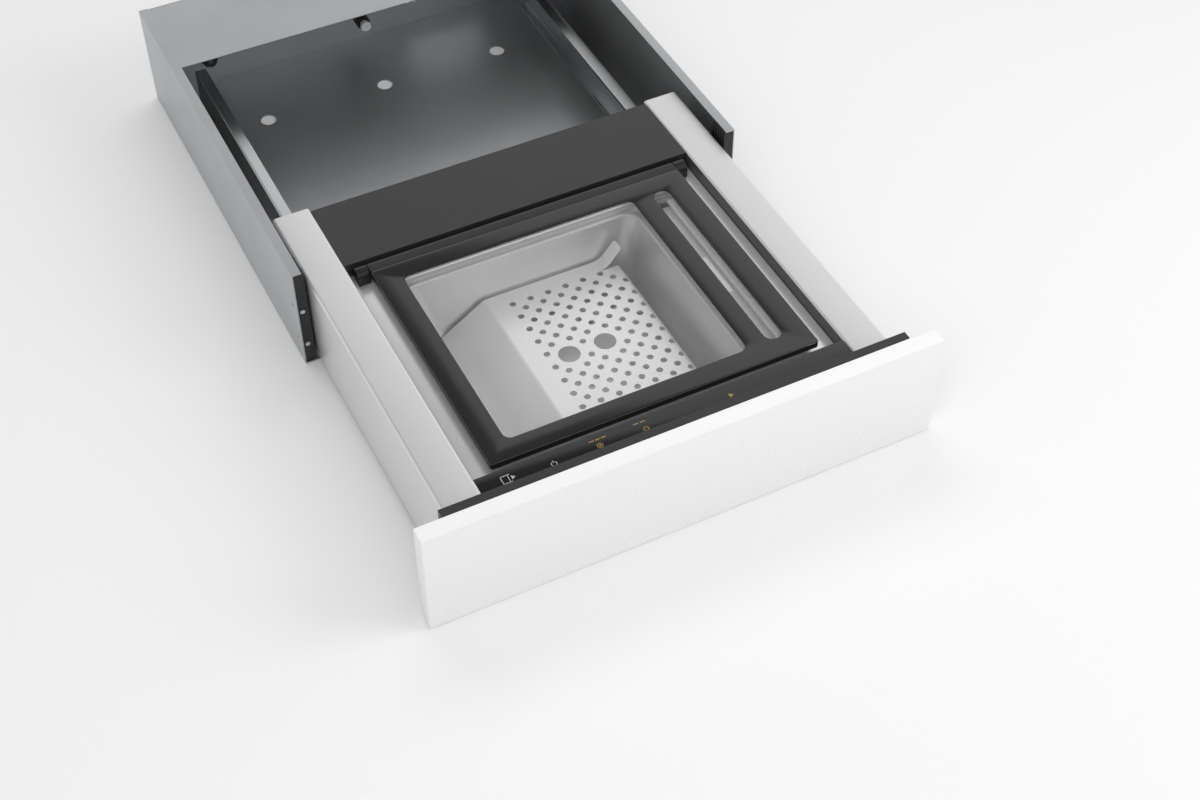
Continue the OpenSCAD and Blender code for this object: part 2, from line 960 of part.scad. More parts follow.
module rear_cover() {
  color("#1a1a1a") {
    at_drawer() {
      block([-deck_x, deck_x], [cover_y, rear_y - 0.2], [top_z - 2, top_z]);
      block([-deck_x, deck_x], [cover_y, cover_y + 2], [deck_z + seat, top_z - 2]);
    }
  }
}

// Pump bay
module pump_motor() {
  color("dimgray") {
    at_drawer() {
      rod_x(bay_y, motor_z, motor_r, motor_x - motor_l / 2, motor_x + motor_l / 2);
      block([motor_x - motor_l / 2 + 8, motor_x + motor_l / 2 - 8], [bay_y - 28, bay_y + 28],
            [pan_top + 5, motor_z - motor_r * 0.6]);
    }
  }
}

module pump_head() {
  low = pan_top + 5;
  color("silver") {
    at_drawer() {
      block([head_x, head_x + head_w], [bay_y - 30, bay_y + 30], [low, low + 2 * motor_r]);
      for (i = [0:4]) {
        block([head_x + 5 + i * 10, head_x + 9 + i * 10], [bay_y - 26, bay_y + 26],
              [low + 2 * motor_r, low + 2 * motor_r + 8]);
      }
      rod_x(valve_y, pump_hose_z, barb_r, head_x + head_w, head_x + head_w + 10);
    }
  }
}

module pump_dampers() {
  color("#202020") {
    at_drawer() {
      for (x = [motor_x - 32, motor_x + 32, head_x + 14, head_x + head_w - 14]) {
        for (y = [-20, 20]) {
          translate([x, bay_y + y, pan_top]) cylinder(r = 7, h = 5);
        }
      }
    }
  }
}

module fan_frame() {
  arm = 3;
  color("#1a1a1a") {
    at_drawer() {
      difference() {
        block([fan_x - fan_size / 2, fan_x + fan_size / 2], [fan_y, fan_y + fan_t],
              [fan_z - fan_size / 2, fan_z + fan_size / 2]);
        rod_y(fan_x, fan_z, fan_size / 2 - 2, fan_y - 1, fan_y + fan_t + 1);
      }
      block([fan_x - fan_size / 2 + 1, fan_x + fan_size / 2 - 1], [fan_y + 0.5, fan_y + 3],
            [fan_z - arm / 2, fan_z + arm / 2]);
      block([fan_x - arm / 2, fan_x + arm / 2], [fan_y + 0.5, fan_y + 3],
            [fan_z - fan_size / 2 + 1, fan_z + fan_size / 2 - 1]);
      rod_y(fan_x, fan_z, hub_r - 3, fan_y + 0.5, fan_y + 3);
      rod_y(fan_x, fan_z, pin_r, fan_y + 2, fan_y + fan_t - 5);
    }
  }
}

module fan_impeller() {
  color("#303030") {
    at_drawer() {
      difference() {
        union() {
          rod_y(fan_x, fan_z, hub_r, fan_y + 3 + air, fan_y + fan_t - 2);
          for (i = [0:fan_blades - 1]) {
            translate([fan_x, fan_y + fan_t / 2 + 1, fan_z])
              rotate([0, i * 360 / fan_blades, 0]) rotate([35, 0, 0])
                translate([hub_r - 2, -8, -1]) cube([blade_r - hub_r + 2, 16, 2]);
          }
        }
        rod_y(fan_x, fan_z, pin_r + run_gap, fan_y, fan_y + fan_t - 5 + air);
      }
    }
  }
}

module power_board() {
  top = pan_top + 9.6;
  color("darkgreen") {
    at_drawer() {
      block([fan_x - 60, inner_x - 12], [power_y, fan_y - 4], [pan_top + 8, top]);
      for (x = [fan_x - 55, inner_x - 17]) {
        for (y = [power_y + 5, fan_y - 9]) {
          translate([x, y, pan_top]) cylinder(r = 2.5, h = 8);
        }
      }
      block([fan_x - 40, fan_x - 10], [power_y + 10, power_y + 35], [top, top + 24]);
      for (i = [0:2]) {
        translate([fan_x + 4 + i * 14, power_y + 24, top]) cylinder(r = 6, h = 26);
      }
    }
  }
}

module transformer() {
  y = valve_y + valve_w / 2 + 4;
  d = core_d;
  left = valve_x - 44;
  leg = core_w / 6 + 0.4;
  low = pan_top + core_leg;
  high = pan_top + core_h - core_leg;
  color("saddlebrown") {
    at_drawer() {
      block([left, left + core_w], [y, y + d], [pan_top + seat, low]);
      block([left, left + core_w], [y, y + d], [high, pan_top + core_h]);
      for (x = [0, (core_w - leg) / 2, core_w - leg]) {
        block([left + x, left + x + leg], [y, y + d], [low, high]);
      }
      block([left + core_w / 2 - 11, left + core_w / 2 + 11], [y - 3, y + d + 3], [low, high]);
    }
  }
}

module vacuum_valve() {
  color("#2b4a6b") {
    at_drawer() {
      block([valve_x - valve_w / 2, valve_x + valve_w / 2],
            [valve_y - valve_w / 2, valve_y + valve_w / 2], [pan_top + seat, pan_top + valve_h]);
      translate([valve_x, valve_y, pan_top + valve_h]) cylinder(r = 9, h = 22);
      rod_y(valve_x, hose_z, barb_r, valve_y - valve_w / 2 - 10, valve_y - valve_w / 2);
      rod_x(valve_y, pump_hose_z, barb_r, valve_x - valve_w / 2 - 10, valve_x - valve_w / 2);
    }
  }
}

module suction_port() {
  body_r = 9;
  color("silver") {
    at_drawer() {
      difference() {
        union() {
          translate([port_x, port_y, tank_under - seat - 9.2]) cylinder(r = body_r, h = 9.2);
          translate([port_x, port_y, tank_under - 1]) cylinder(r = neck_r, h = 4);
          translate([port_x, port_y, tank_floor + seat]) cylinder(r = neck_r + 3, h = 2);
        }
        translate([port_x, port_y, hose_z - 1]) cylinder(r = hose_bore, h = 20);
      }
      rod_y(port_x, hose_z, barb_r, port_y + body_r - 1, port_y + body_r + 12);
    }
  }
}

module suction_hose() {
  from = port_y + 9 + air;
  to = valve_y - valve_w / 2 - seat;
  color("#d8d8d0") {
    at_drawer() {
      difference() {
        rod_y(port_x, hose_z, hose_r, from, to);
        rod_y(port_x, hose_z, hose_bore, from - 1, to + 1);
      }
    }
  }
}

module pump_hose() {
  from = head_x + head_w + seat;
  to = valve_x - valve_w / 2 - seat;
  color("#d8d8d0") {
    at_drawer() {
      difference() {
        rod_x(valve_y, pump_hose_z, hose_r, from, to);
        rod_x(valve_y, pump_hose_z, hose_bore, from - 1, to + 1);
      }
    }
  }
}

module lift_cylinders() {
  under = trough_floor - tank_sheet - seat;
  body_l = 46;
  color("#30343a") {
    at_drawer() {
      translate([bar_x, win_y, 0]) {
        lift_places() {
          difference() {
            translate([0, 0, under - body_l]) cylinder(r = 11, h = body_l);
            translate([0, 0, under - rod_in]) cylinder(r = pin_r + run_gap, h = rod_in + 1);
          }
        }
      }
    }
  }
}
// Lid
module lid_glass() {
  color([0.75, 0.85, 0.9, 0.35]) {
    at_drawer() {
      translate([0, lid_y + lid_l / 2, lid_under]) linear_extrude(lid_t)
        rounded(lid_w, lid_l, 3);
    }
  }
}

module lid_border() {
  color("#2e2e2e") {
    at_drawer() {
      translate([0, 0, film_z]) linear_extrude(film_t) difference() {
        translate([0, lid_y + lid_l / 2]) rounded(lid_w - 0.4, lid_l - 0.4, 3);
        translate([win_x, glass_y]) rounded(win_w, win_l, win_r);
        translate([slot_x, glass_y]) stadium(slot_w, slot_l);
      }
    }
  }
}

module hinge_bar() {
  half = lid_w / 2;
  color("#1c1c1c") {
    at_drawer() {
      difference() {
        union() {
          rod_x(hinge_y, hinge_z, hinge_r, -half, half);
          block([-half, half], [lid_end + seat, hinge_y], [hinge_z - 2, top_z]);
          block([-half, half], [lid_end - 8, hinge_y], [hinge_z - 2, lid_under - seat]);
        }
        both_sides() {
          rod_x(hinge_y, hinge_z, pin_r + run_gap, half - 13, half + 1);
        }
      }
    }
  }
}

module counter_bar() {
  color("#a2a2a0") {
    at_drawer() {
      block([bar_x + 2, bar_x + 10], [win_y - bar_l / 2, win_y + bar_l / 2],
            [lid_under - 4.5, lid_under]);
    }
  }
}

// Sealing bar
module seal_bar() {
  color("silver") {
    at_drawer() {
      difference() {
        translate([bar_x, win_y, bar_top - bar_h]) linear_extrude(bar_h) stadium(bar_w, bar_l);
        block([band_x, band_x + band_w], [win_y - band_l / 2, win_y + band_l / 2],
              [bar_top - 0.6, bar_top + 1]);
        block([bar_x - bar_w, clip_x], [win_y - clip_l / 2, win_y + clip_l / 2],
              [bar_top - 1.4, bar_top + 1]);
      }
    }
  }
}

module heating_band() {
  color("goldenrod") {
    at_drawer() {
      block([band_x + seat, band_x + band_w - seat],
            [win_y - band_l / 2 + 1, win_y + band_l / 2 - 1], [bar_top - 0.6, bar_top]);
    }
  }
}

// Spring steel clip that lies in the bar's rebate and holds the bag's mouth
module bag_clip() {
  left = bar_x - bar_w / 2;
  color("whitesmoke") {
    at_drawer() {
      block([left - 1.2, clip_x - seat], [win_y - clip_l / 2 + seat, win_y + clip_l / 2 - seat],
            [bar_top - 1.3, bar_top]);
      block([left - 1.2, left - seat], [win_y - clip_l / 2 + seat, win_y + clip_l / 2 - seat],
            [bar_top - bar_h + 2, bar_top]);
    }
  }
}

module lift_rods() {
  under = trough_floor - tank_sheet - seat;
  color("silver") {
    at_drawer() {
      translate([bar_x, win_y, 0]) {
        lift_places() {
          translate([0, 0, under - rod_in + air])
            cylinder(r = pin_r, h = bar_top - bar_h - under + rod_in - air);
        }
      }
    }
  }
}

// Perforated insert
// The folded sheet seen from the front, from its left foot over the flat to its right side
function ramp_line(down) =
  concat(arc(ramp_foot, insert_low + ramp_out, ramp_out + down, 270, 270 + ramp_angle, 6),
         arc(flat_left, insert_top - ramp_in, ramp_in - down, 90 + ramp_angle, 90, 6));
function edge_line(down) =
  concat(arc(flat_right - edge_r, insert_top - edge_r, edge_r - down, 90, 0, 6),
         [[flat_right - down, insert_top - edge_r - edge_drop]]);
function ear_line(down) = let (x = flat_right - ear_run)
  concat(arc(x, insert_top + ear_r, ear_r + down, 270, 270 + ear_turn, 6),
         [[flat_right + down * sin(ear_turn),
           insert_top + ear_r * (1 - cos(ear_turn)) - down * cos(ear_turn)
             + (ear_run - ear_r * sin(ear_turn)) * tan(ear_turn)]]);

function reversed(list) = [for (i = [len(list) - 1:-1:0]) list[i]];

// Outline from above: the ramp narrows towards its foot as the tank does
module insert_plan() {
  right = flat_right + 2;
  middle = flat_left + 20;
  taper = atan((insert_l / 2 - foot_half) / (flat_left - ramp_foot));
  x = ramp_foot + ramp_corner;
  y = insert_l / 2 - (ramp_corner + sin(taper) * (flat_left - x)) / cos(taper);
  side = concat(arc(x, y, ramp_corner, 180, 90 + taper, 5),
                [[flat_left, insert_l / 2], [middle + 5, insert_l / 2]]);
  translate([0, win_y])
    polygon(concat([for (v = side) [v[0], -v[1]]], reversed(side)));
  translate([(middle + right) / 2, win_y]) rounded(right - middle, insert_l, ear_corner);
}

module insert_plate() {
  half = insert_l / 2;
  color("white") {
    at_drawer() {
      difference() {
        intersection() {
          union() {
            along_y(win_y - half + ear_w, win_y + half - ear_w)
              polygon(concat(ramp_line(0), edge_line(0), reversed(edge_line(sheet)),
                             reversed(ramp_line(sheet))));
            for (y = [win_y - half - 1, win_y + half - ear_w - eps]) {
              along_y(y, y + ear_w + 1 + eps)
                polygon(concat(ramp_line(0), ear_line(0), reversed(ear_line(sheet)),
                               reversed(ramp_line(sheet))));
            }
          }
          translate([0, 0, insert_low - 5]) linear_extrude(insert_h + 40) insert_plan();
        }
        translate([0, 0, insert_top - edge_r]) linear_extrude(edge_r + sheet) perforation();
        // Slits that part the lugs from the flange
        for (y = [-1, 1]) {
          block([flat_right - ear_run, flat_right + 3],
                [win_y + y * (half - ear_w) - ear_gap / 2, win_y + y * (half - ear_w) + ear_gap / 2],
                [insert_top - edge_r - edge_drop - 1, insert_top + ear_run * tan(ear_turn)]);
        }
      }
    }
  }
}

function clear_of_fingers(x, y) =
  min([for (c = [-2, 0]) norm([x - perf_x - c * perf_pitch, y - perf_y])])
    > finger_d / 2 + perf_d / 2 + 1;

module perforation() {
  // Even rows hold one hole more than the rows between them
  for (row = [0:2 * (perf_rows - 1)]) {
    odd = row % 2;
    y = perf_y + (row - perf_rows + 1) * perf_pitch / 2;
    for (col = [0:perf_cols - 1 - odd]) {
      x = perf_x + (col - (perf_cols - 1 - odd) / 2) * perf_pitch;
      corner = col == perf_cols - 1 && abs(row - perf_rows + 1) == perf_rows - 1;
      if (clear_of_fingers(x, y) && !corner) {
        translate([x, y]) circle(perf_d / 2);
      }
    }
  }
  for (c = [-2, 0]) {
    translate([perf_x + c * perf_pitch, perf_y]) circle(finger_d / 2);
  }
}

module insert_feet() {
  color("#404040") {
    at_drawer() {
      for (x = [flat_left + 8, flat_right - 23]) {
        for (y = [-1, 1]) {
          translate([x, win_y + y * (insert_l / 2 - 36), tank_floor + air])
            cylinder(r = 5, h = insert_h - sheet - air - seat);
        }
      }
    }
  }
}

base_pan();
side_panels();
rear_panel();
top_brace();
mount_strips();
strip_screws();
rail_brackets();
outer_rails();
latch_body();
cable_gland();
middle_rails();
outer_ball_cages();
inner_ball_cages();
latch_plunger();
front_panel();
front_carrier();
front_screws();
front_brackets();
side_wall_left();
side_wall_right();
floor_pan();
rear_wall();
inner_rails();
deck_ledges();
deck_plate();
chamber_tank();
seal_trough();
chamber_gasket();
control_glass();
control_housing();
control_board();
indicator_leds();
touch_pads();
control_cable();
hinge_brackets();
hinge_pins();
rear_cover();
pump_motor();
pump_head();
pump_dampers();
fan_frame();
fan_impeller();
transformer();
power_board();
vacuum_valve();
suction_port();
suction_hose();
pump_hose();
lift_cylinders();
lid_glass();
lid_border();
hinge_bar();
counter_bar();
seal_bar();
heating_band();
bag_clip();
lift_rods();
insert_plate();
insert_feet();
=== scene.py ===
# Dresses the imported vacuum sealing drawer: materials, smooth surfaces, light and camera.
# Metres, in the part's own frame: +Z up, the front faces -Y, and the drawer stands open.
import json
import math

import bmesh
import bpy
from mathutils import Matrix, Vector


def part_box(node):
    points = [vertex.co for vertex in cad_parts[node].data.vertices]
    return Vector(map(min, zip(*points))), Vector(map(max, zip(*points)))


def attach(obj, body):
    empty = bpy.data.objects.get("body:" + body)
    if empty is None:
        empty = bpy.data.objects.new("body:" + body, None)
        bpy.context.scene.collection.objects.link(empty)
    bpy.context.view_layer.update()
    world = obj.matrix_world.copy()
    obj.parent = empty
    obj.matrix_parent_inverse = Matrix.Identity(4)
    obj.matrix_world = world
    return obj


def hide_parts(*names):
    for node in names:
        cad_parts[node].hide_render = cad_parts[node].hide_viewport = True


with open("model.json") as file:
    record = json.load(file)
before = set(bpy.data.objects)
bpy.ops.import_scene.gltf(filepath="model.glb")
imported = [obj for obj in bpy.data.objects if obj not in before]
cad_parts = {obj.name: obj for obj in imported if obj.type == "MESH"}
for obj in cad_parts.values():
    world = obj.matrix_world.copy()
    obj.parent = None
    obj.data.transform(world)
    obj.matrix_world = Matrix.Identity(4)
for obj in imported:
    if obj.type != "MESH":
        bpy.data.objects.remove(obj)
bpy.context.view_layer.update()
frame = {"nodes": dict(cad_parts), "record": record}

MM = 0.001


nodes = frame["nodes"]


# Materials -------------------------------------------------------------------------------

def material(name, color, rough, metal=0.0, **inputs):
    """A Principled material; returns the material, its node tree and its shader."""
    m = bpy.data.materials.new(name)
    m.use_nodes = True
    tree = m.node_tree
    shader = tree.nodes["Principled BSDF"]
    shader.inputs["Base Color"].default_value = (*color, 1.0)
    shader.inputs["Roughness"].default_value = rough
    shader.inputs["Metallic"].default_value = metal
    for key, value in inputs.items():
        shader.inputs[key.replace("_", " ")].default_value = value
    return m, tree, shader


def coords(tree, scale):
    place = tree.nodes.new("ShaderNodeTexCoord")
    mapping = tree.nodes.new("ShaderNodeMapping")
    mapping.inputs["Scale"].default_value = scale
    tree.links.new(place.outputs["Object"], mapping.inputs["Vector"])
    return mapping.outputs["Vector"]


def noise(tree, scale, size, detail=2.0, rough=0.5):
    n = tree.nodes.new("ShaderNodeTexNoise")
    n.inputs["Scale"].default_value = size
    n.inputs["Detail"].default_value = detail
    n.inputs["Roughness"].default_value = rough
    tree.links.new(coords(tree, scale), n.inputs["Vector"])
    return n.outputs["Fac"]


def spread(tree, value, low, high):
    """Maps a noise of about 0.3 to 0.7 onto low to high."""
    r = tree.nodes.new("ShaderNodeMapRange")
    r.inputs["From Min"].default_value = 0.3
    r.inputs["From Max"].default_value = 0.7
    r.inputs["To Min"].default_value = low
    r.inputs["To Max"].default_value = high
    tree.links.new(value, r.inputs["Value"])
    return r.outputs["Result"]


def tint(tree, value, dark, light):
    ramp = tree.nodes.new("ShaderNodeValToRGB")
    ramp.color_ramp.elements[0].position = 0.3
    ramp.color_ramp.elements[0].color = (*dark, 1.0)
    ramp.color_ramp.elements[1].position = 0.7
    ramp.color_ramp.elements[1].color = (*light, 1.0)
    tree.links.new(value, ramp.inputs["Fac"])
    return ramp.outputs["Color"]


def feed(tree, value, socket):
    """Sets a socket to a number, or links another node's output to it."""
    if isinstance(value, bpy.types.NodeSocket):
        tree.links.new(value, socket)
    else:
        socket.default_value = value


def compute(tree, operation, *values):
    """A math node; each value is a number or another node's output."""
    step = tree.nodes.new("ShaderNodeMath")
    step.operation = operation
    for value, socket in zip(values, step.inputs):
        feed(tree, value, socket)
    return step.outputs["Value"]


def see_through(tree, shader, share, color=(1.0, 1.0, 1.0)):
    """Mixes a shader with a clear one; share is the shader's part."""
    clear = tree.nodes.new("ShaderNodeBsdfTransparent")
    clear.inputs["Color"].default_value = (*color, 1.0)
    mix = tree.nodes.new("ShaderNodeMixShader")
    feed(tree, share, mix.inputs["Fac"])
    tree.links.new(clear.outputs["BSDF"], mix.inputs[1])
    tree.links.new(shader.outputs["BSDF"], mix.inputs[2])
    tree.links.new(mix.outputs["Shader"], tree.nodes["Material Output"].inputs["Surface"])


def bump(tree, shader, value, strength, distance):
    b = tree.nodes.new("ShaderNodeBump")
    b.inputs["Strength"].default_value = strength
    b.inputs["Distance"].default_value = distance
    tree.links.new(value, b.inputs["Height"])
    tree.links.new(b.outputs["Normal"], shader.inputs["Normal"])


def scaled(color, k):
    return tuple(min(1.0, c * k) for c in color)


def steel(name, color, rough, along="Y", grain=0.05, vary=0.06, strength=0.12, metal=1.0):
    """Brushed sheet metal: fine streaks along one axis."""
    m, tree, shader = material(name, color, rough, metal)
    streak = tuple(14.0 if axis == along else 1400.0 for axis in "XYZ")
    fine = noise(tree, streak, 1.0, 3.0, 0.6)
    cloud = noise(tree, (6.0, 6.0, 6.0), 1.0, 2.0)
    shades = tint(tree, fine, scaled(color, 1 - grain), scaled(color, 1 + grain))
    tree.links.new(shades, shader.inputs["Base Color"])
    mixed = compute(tree, "MULTIPLY_ADD", fine, 0.6, compute(tree, "MULTIPLY", cloud, 0.4))
    tree.links.new(spread(tree, mixed, rough - vary, rough + vary), shader.inputs["Roughness"])
    bump(tree, shader, fine, strength, 0.00004)
    return m


def cast(name, color, rough, metal=1.0, size=900.0, strength=0.3, depth=0.00008, vary=0.06, shade=0.06,
         **inputs):
    """Any surface with an even fine grain: castings, mouldings, rubber, zinc and lacquer."""
    m, tree, shader = material(name, color, rough, metal, **inputs)
    fine = noise(tree, (1.0, 1.0, 1.0), size, 3.0)
    cloud = noise(tree, (1.0, 1.0, 1.0), 14.0, 3.0)
    shades = tint(tree, cloud, scaled(color, 1 - shade), scaled(color, 1 + shade))
    tree.links.new(shades, shader.inputs["Base Color"])
    tree.links.new(spread(tree, fine, rough - vary, rough + vary), shader.inputs["Roughness"])
    bump(tree, shader, fine, strength, depth)
    return m


def clear_glass(name, rough, head_on, tint_color):
    """Thin clear glass: what lies behind it isn't displaced. It mirrors the share head_on when seen
    straight on, and more at a glancing angle."""
    m, tree, shader = material(name, (1.0, 1.0, 1.0), rough, 1.0)
    streaks = noise(tree, (1.0, 1.0, 1.0), 9.0, 1.0)
    tree.links.new(spread(tree, streaks, rough, rough + 0.012), shader.inputs["Roughness"])
    facing = tree.nodes.new("ShaderNodeLayerWeight")
    facing.inputs["Blend"].default_value = 0.5
    steep = compute(tree, "POWER", facing.outputs["Facing"], 6.0)
    see_through(tree, shader, compute(tree, "MULTIPLY_ADD", steep, 1.0 - head_on, head_on), tint_color)
    return m


def milky(name, color, rough, share):
    """Cloudy rubber: part of what lies behind it shows."""
    m, tree, shader = material(name, color, rough)
    fine = noise(tree, (1.0, 1.0, 1.0), 600.0, 2.0)
    tree.links.new(spread(tree, fine, rough - 0.03, rough + 0.03), shader.inputs["Roughness"])
    see_through(tree, shader, share)
    return m


def glow(name, color, strength):
    """A printed or moulded surface that gives off a little light."""
    m, tree, shader = material(name, color, 0.4)
    shader.inputs["Emission Color"].default_value = (*color, 1.0)
    shader.inputs["Emission Strength"].default_value = strength
    fine = noise(tree, (1.0, 1.0, 1.0), 2000.0, 1.0)
    tree.links.new(spread(tree, fine, 0.35, 0.45), shader.inputs["Roughness"])
    return m


# Grain of the smooth surfaces
SATIN = dict(size=700.0, strength=0.1, depth=0.00003, vary=0.03, shade=0.02)
SMOOTH = dict(size=700.0, strength=0.02, depth=0.00001, vary=0.03, shade=0.01)
SOFT = dict(size=700.0, strength=0.02, depth=0.00001, vary=0.03, shade=0.02)
EDGE = dict(size=300.0, strength=0.05, depth=0.00001, vary=0.03, shade=0.05)

LACQUER = cast("white_lacquer", (0.86, 0.86, 0.855), 0.3, metal=0.0, size=260.0, strength=0.06,
               depth=0.00003, vary=0.03, shade=0.004, Coat_Weight=0.35, Coat_Roughness=0.12)
WALL = steel("wall_steel", (0.72, 0.72, 0.72), 0.36, along="Y", grain=0.015, vary=0.03, strength=0.04,
             metal=0.65)
# Painted shade: a dark copy of the wall steel for the walls' inner faces, standing for the shade those faces
# lie in
WALL_INNER_SHADE = cast("wall_inner_painted_shade", (0.105, 0.108, 0.108), 0.4, metal=0.3, size=700.0, strength=0.1,
             depth=0.00003, vary=0.04, shade=0.04)
DECK = steel("deck_steel", (0.92, 0.92, 0.92), 0.24, along="Y", grain=0.008, vary=0.02, strength=0.03,
             metal=0.6)
RIM = cast("tank_rim_steel", (0.6, 0.6, 0.602), 0.5, metal=0.35, size=700.0, strength=0.03,
           depth=0.00001, vary=0.02, shade=0.01)
TANK = cast("tank_steel", (0.7, 0.7, 0.702), 0.38, metal=0.8, **SATIN)
# Painted light: the tank's floor is a near-white, nearly matt copy of the tank steel, so the shaded floor
# under the insert and seen through its holes looks lit
TANK_FLOOR_PAINTED_LIGHT = cast("tank_floor_painted_light", (0.96, 0.96, 0.96), 0.4, metal=0.1, **SATIN)
# Painted light: the insert's underside is a white, matt copy of the insert steel, lighting up the shade seen
# through its holes
INSERT_UNDERSIDE_PAINTED_LIGHT = cast("insert_underside_painted_light", (0.95, 0.95, 0.95), 0.6, metal=0.0, **SATIN)
INSERT = cast("insert_steel", (0.94, 0.94, 0.945), 0.36, metal=0.62, size=800.0, strength=0.05,
              depth=0.00001, vary=0.03, shade=0.012)
ZINC = cast("zinc_sheet", (0.5, 0.51, 0.52), 0.44, metal=0.9, size=420.0, strength=0.08, depth=0.00002,
            vary=0.04, shade=0.035)
RAIL = steel("rail_steel", (0.62, 0.63, 0.64), 0.3, along="Y", grain=0.04, vary=0.06)
SCREW = cast("screw_steel", (0.68, 0.68, 0.68), 0.3, metal=1.0)
PIN = cast("pin_steel", (0.8, 0.8, 0.8), 0.14, metal=1.0, size=500.0, strength=0.05, depth=0.00001)
CLIP = cast("clip_steel", (0.96, 0.96, 0.96), 0.34, metal=0.08, **SMOOTH)
CAGE = cast("cage_steel", (0.58, 0.56, 0.5), 0.35, metal=1.0)
CARRIER = cast("carrier_black", (0.024, 0.024, 0.025), 0.42, metal=0.0, size=900.0, strength=0.3)
STRIP = cast("strip_black", (0.012, 0.012, 0.012), 0.5, metal=0.0)
BLACK = cast("housing_black", (0.018, 0.018, 0.018), 0.45, metal=0.0)
HINGE = cast("hinge_black", (0.02, 0.02, 0.021), 0.35, metal=0.3, size=900.0, strength=0.1)
COVER = cast("cover_black", (0.022, 0.022, 0.023), 0.38, metal=0.0, size=600.0, strength=0.15)
GASKET = cast("gasket_rubber", (0.46, 0.46, 0.455), 0.5, metal=0.0, **SOFT)
# Painted highlight: the near-white top of the gasket's lip
GASKET_LIP_HIGHLIGHT = cast("gasket_lip_painted_highlight", (0.94, 0.94, 0.93), 0.16, metal=0.0, **SOFT)
SILICONE = milky("clear_silicone", (0.82, 0.82, 0.81), 0.4, 0.45)
FOOT = cast("foot_rubber", (0.45, 0.45, 0.45), 0.55, metal=0.0, size=700.0, strength=0.1)
RUBBER = cast("black_rubber", (0.02, 0.02, 0.02), 0.65, metal=0.0)
HOSE = cast("hose_rubber", (0.68, 0.68, 0.62), 0.45, metal=0.0, Subsurface_Weight=0.1)
CABLE = cast("cable_grey", (0.05, 0.05, 0.05), 0.5, metal=0.0)
GLASS = clear_glass("clear_glass", 0.008, 0.022, (0.985, 0.985, 0.985))
GLASS_BEVEL = cast("glass_bevel", (0.085, 0.09, 0.09), 0.25, metal=0.0, **EDGE)
GLASS_EDGE = cast("glass_edge", (0.012, 0.015, 0.014), 0.3, metal=0.0, Specular_IOR_Level=0.1, **EDGE)
GLOSS = cast("black_glass", (0.008, 0.008, 0.009), 0.06, metal=0.0, size=40.0, strength=0.01,
             depth=0.00001, vary=0.015, shade=0.02)
PRINT = cast("grey_print", (0.009, 0.009, 0.009), 0.55, metal=0.0, size=1500.0, strength=0.0,
             depth=0.00001, vary=0.03, shade=0.02, Specular_IOR_Level=0.1, Coat_Weight=1.0,
             Coat_Roughness=0.03)
MOTOR = cast("motor_grey", (0.16, 0.17, 0.18), 0.42, metal=0.2, size=500.0)
ALU = cast("cast_aluminium", (0.58, 0.59, 0.6), 0.42, metal=1.0, size=380.0, strength=0.4,
           depth=0.00012)
BAR = cast("bar_aluminium", (0.76, 0.76, 0.762), 0.4, metal=0.35, **SMOOTH)
CORE = steel("core_brown", (0.12, 0.06, 0.035), 0.45, along="X", grain=0.15, vary=0.08, strength=0.5)
BOARD = cast("board_green", (0.03, 0.13, 0.06), 0.3, metal=0.0, size=1200.0, strength=0.3)
LED = glow("led_amber", (1.0, 0.42, 0.06), 1.0)
PAD = cast("pad_grey", (0.07, 0.07, 0.07), 0.7, metal=0.0)
VALVE = cast("valve_blue", (0.03, 0.08, 0.17), 0.4, metal=0.0)
BAND = cast("band_metal", (0.72, 0.712, 0.698), 0.4, metal=0.25, **SMOOTH)
WHITE = cast("white_plastic", (0.7, 0.7, 0.68), 0.45, metal=0.0)
CYLINDER = cast("cylinder_grey", (0.09, 0.095, 0.1), 0.35, metal=0.7)
ICON_WHITE = glow("icon_white", (0.42, 0.42, 0.42), 0.08)
ICON_AMBER = glow("icon_amber", (0.32, 0.21, 0.035), 0.08)

LOOKS = dict(
    base_pan=ZINC, side_panels=ZINC, rear_panel=ZINC, top_brace=ZINC, mount_strips=STRIP,
    strip_screws=SCREW, rail_brackets=ZINC, outer_rails=RAIL, latch_body=BLACK, cable_gland=BLACK,
    middle_rails=RAIL, outer_ball_cages=CAGE, inner_ball_cages=CAGE, latch_plunger=WHITE,
    front_panel=LACQUER, front_carrier=CARRIER, front_screws=SCREW, front_brackets=ZINC,
    side_wall_left=WALL, side_wall_right=WALL, floor_pan=ZINC, rear_wall=ZINC, inner_rails=RAIL,
    deck_ledges=ZINC, deck_plate=DECK, chamber_tank=TANK, seal_trough=TANK, chamber_gasket=GASKET,
    control_glass=GLOSS, control_housing=BLACK, control_board=BOARD, indicator_leds=LED, touch_pads=PAD,
    control_cable=CABLE, hinge_brackets=HINGE, hinge_pins=PIN, rear_cover=COVER, pump_motor=MOTOR,
    pump_head=ALU, pump_dampers=RUBBER, fan_frame=BLACK, fan_impeller=BLACK, transformer=CORE,
    power_board=BOARD, vacuum_valve=VALVE, suction_port=PIN, suction_hose=HOSE, pump_hose=HOSE,
    lift_cylinders=CYLINDER, lid_glass=GLASS, lid_border=PRINT, hinge_bar=HINGE, counter_bar=SILICONE,
    seal_bar=BAR, heating_band=BAND, bag_clip=CLIP, lift_rods=PIN, insert_plate=INSERT,
    insert_feet=FOOT)
for name, look in LOOKS.items():
    nodes[name].data.materials.clear()
    nodes[name].data.materials.append(look)


# Making pieces ---------------------------------------------------------------------------

def body_of(node):
    for body, members in frame["record"]["behaviour"]["bodies"].items():
        if node in members:
            return body
    raise ValueError(node)


def new_object(name, data):
    ob = bpy.data.objects.new(name, data)
    bpy.context.scene.collection.objects.link(ob)
    return ob


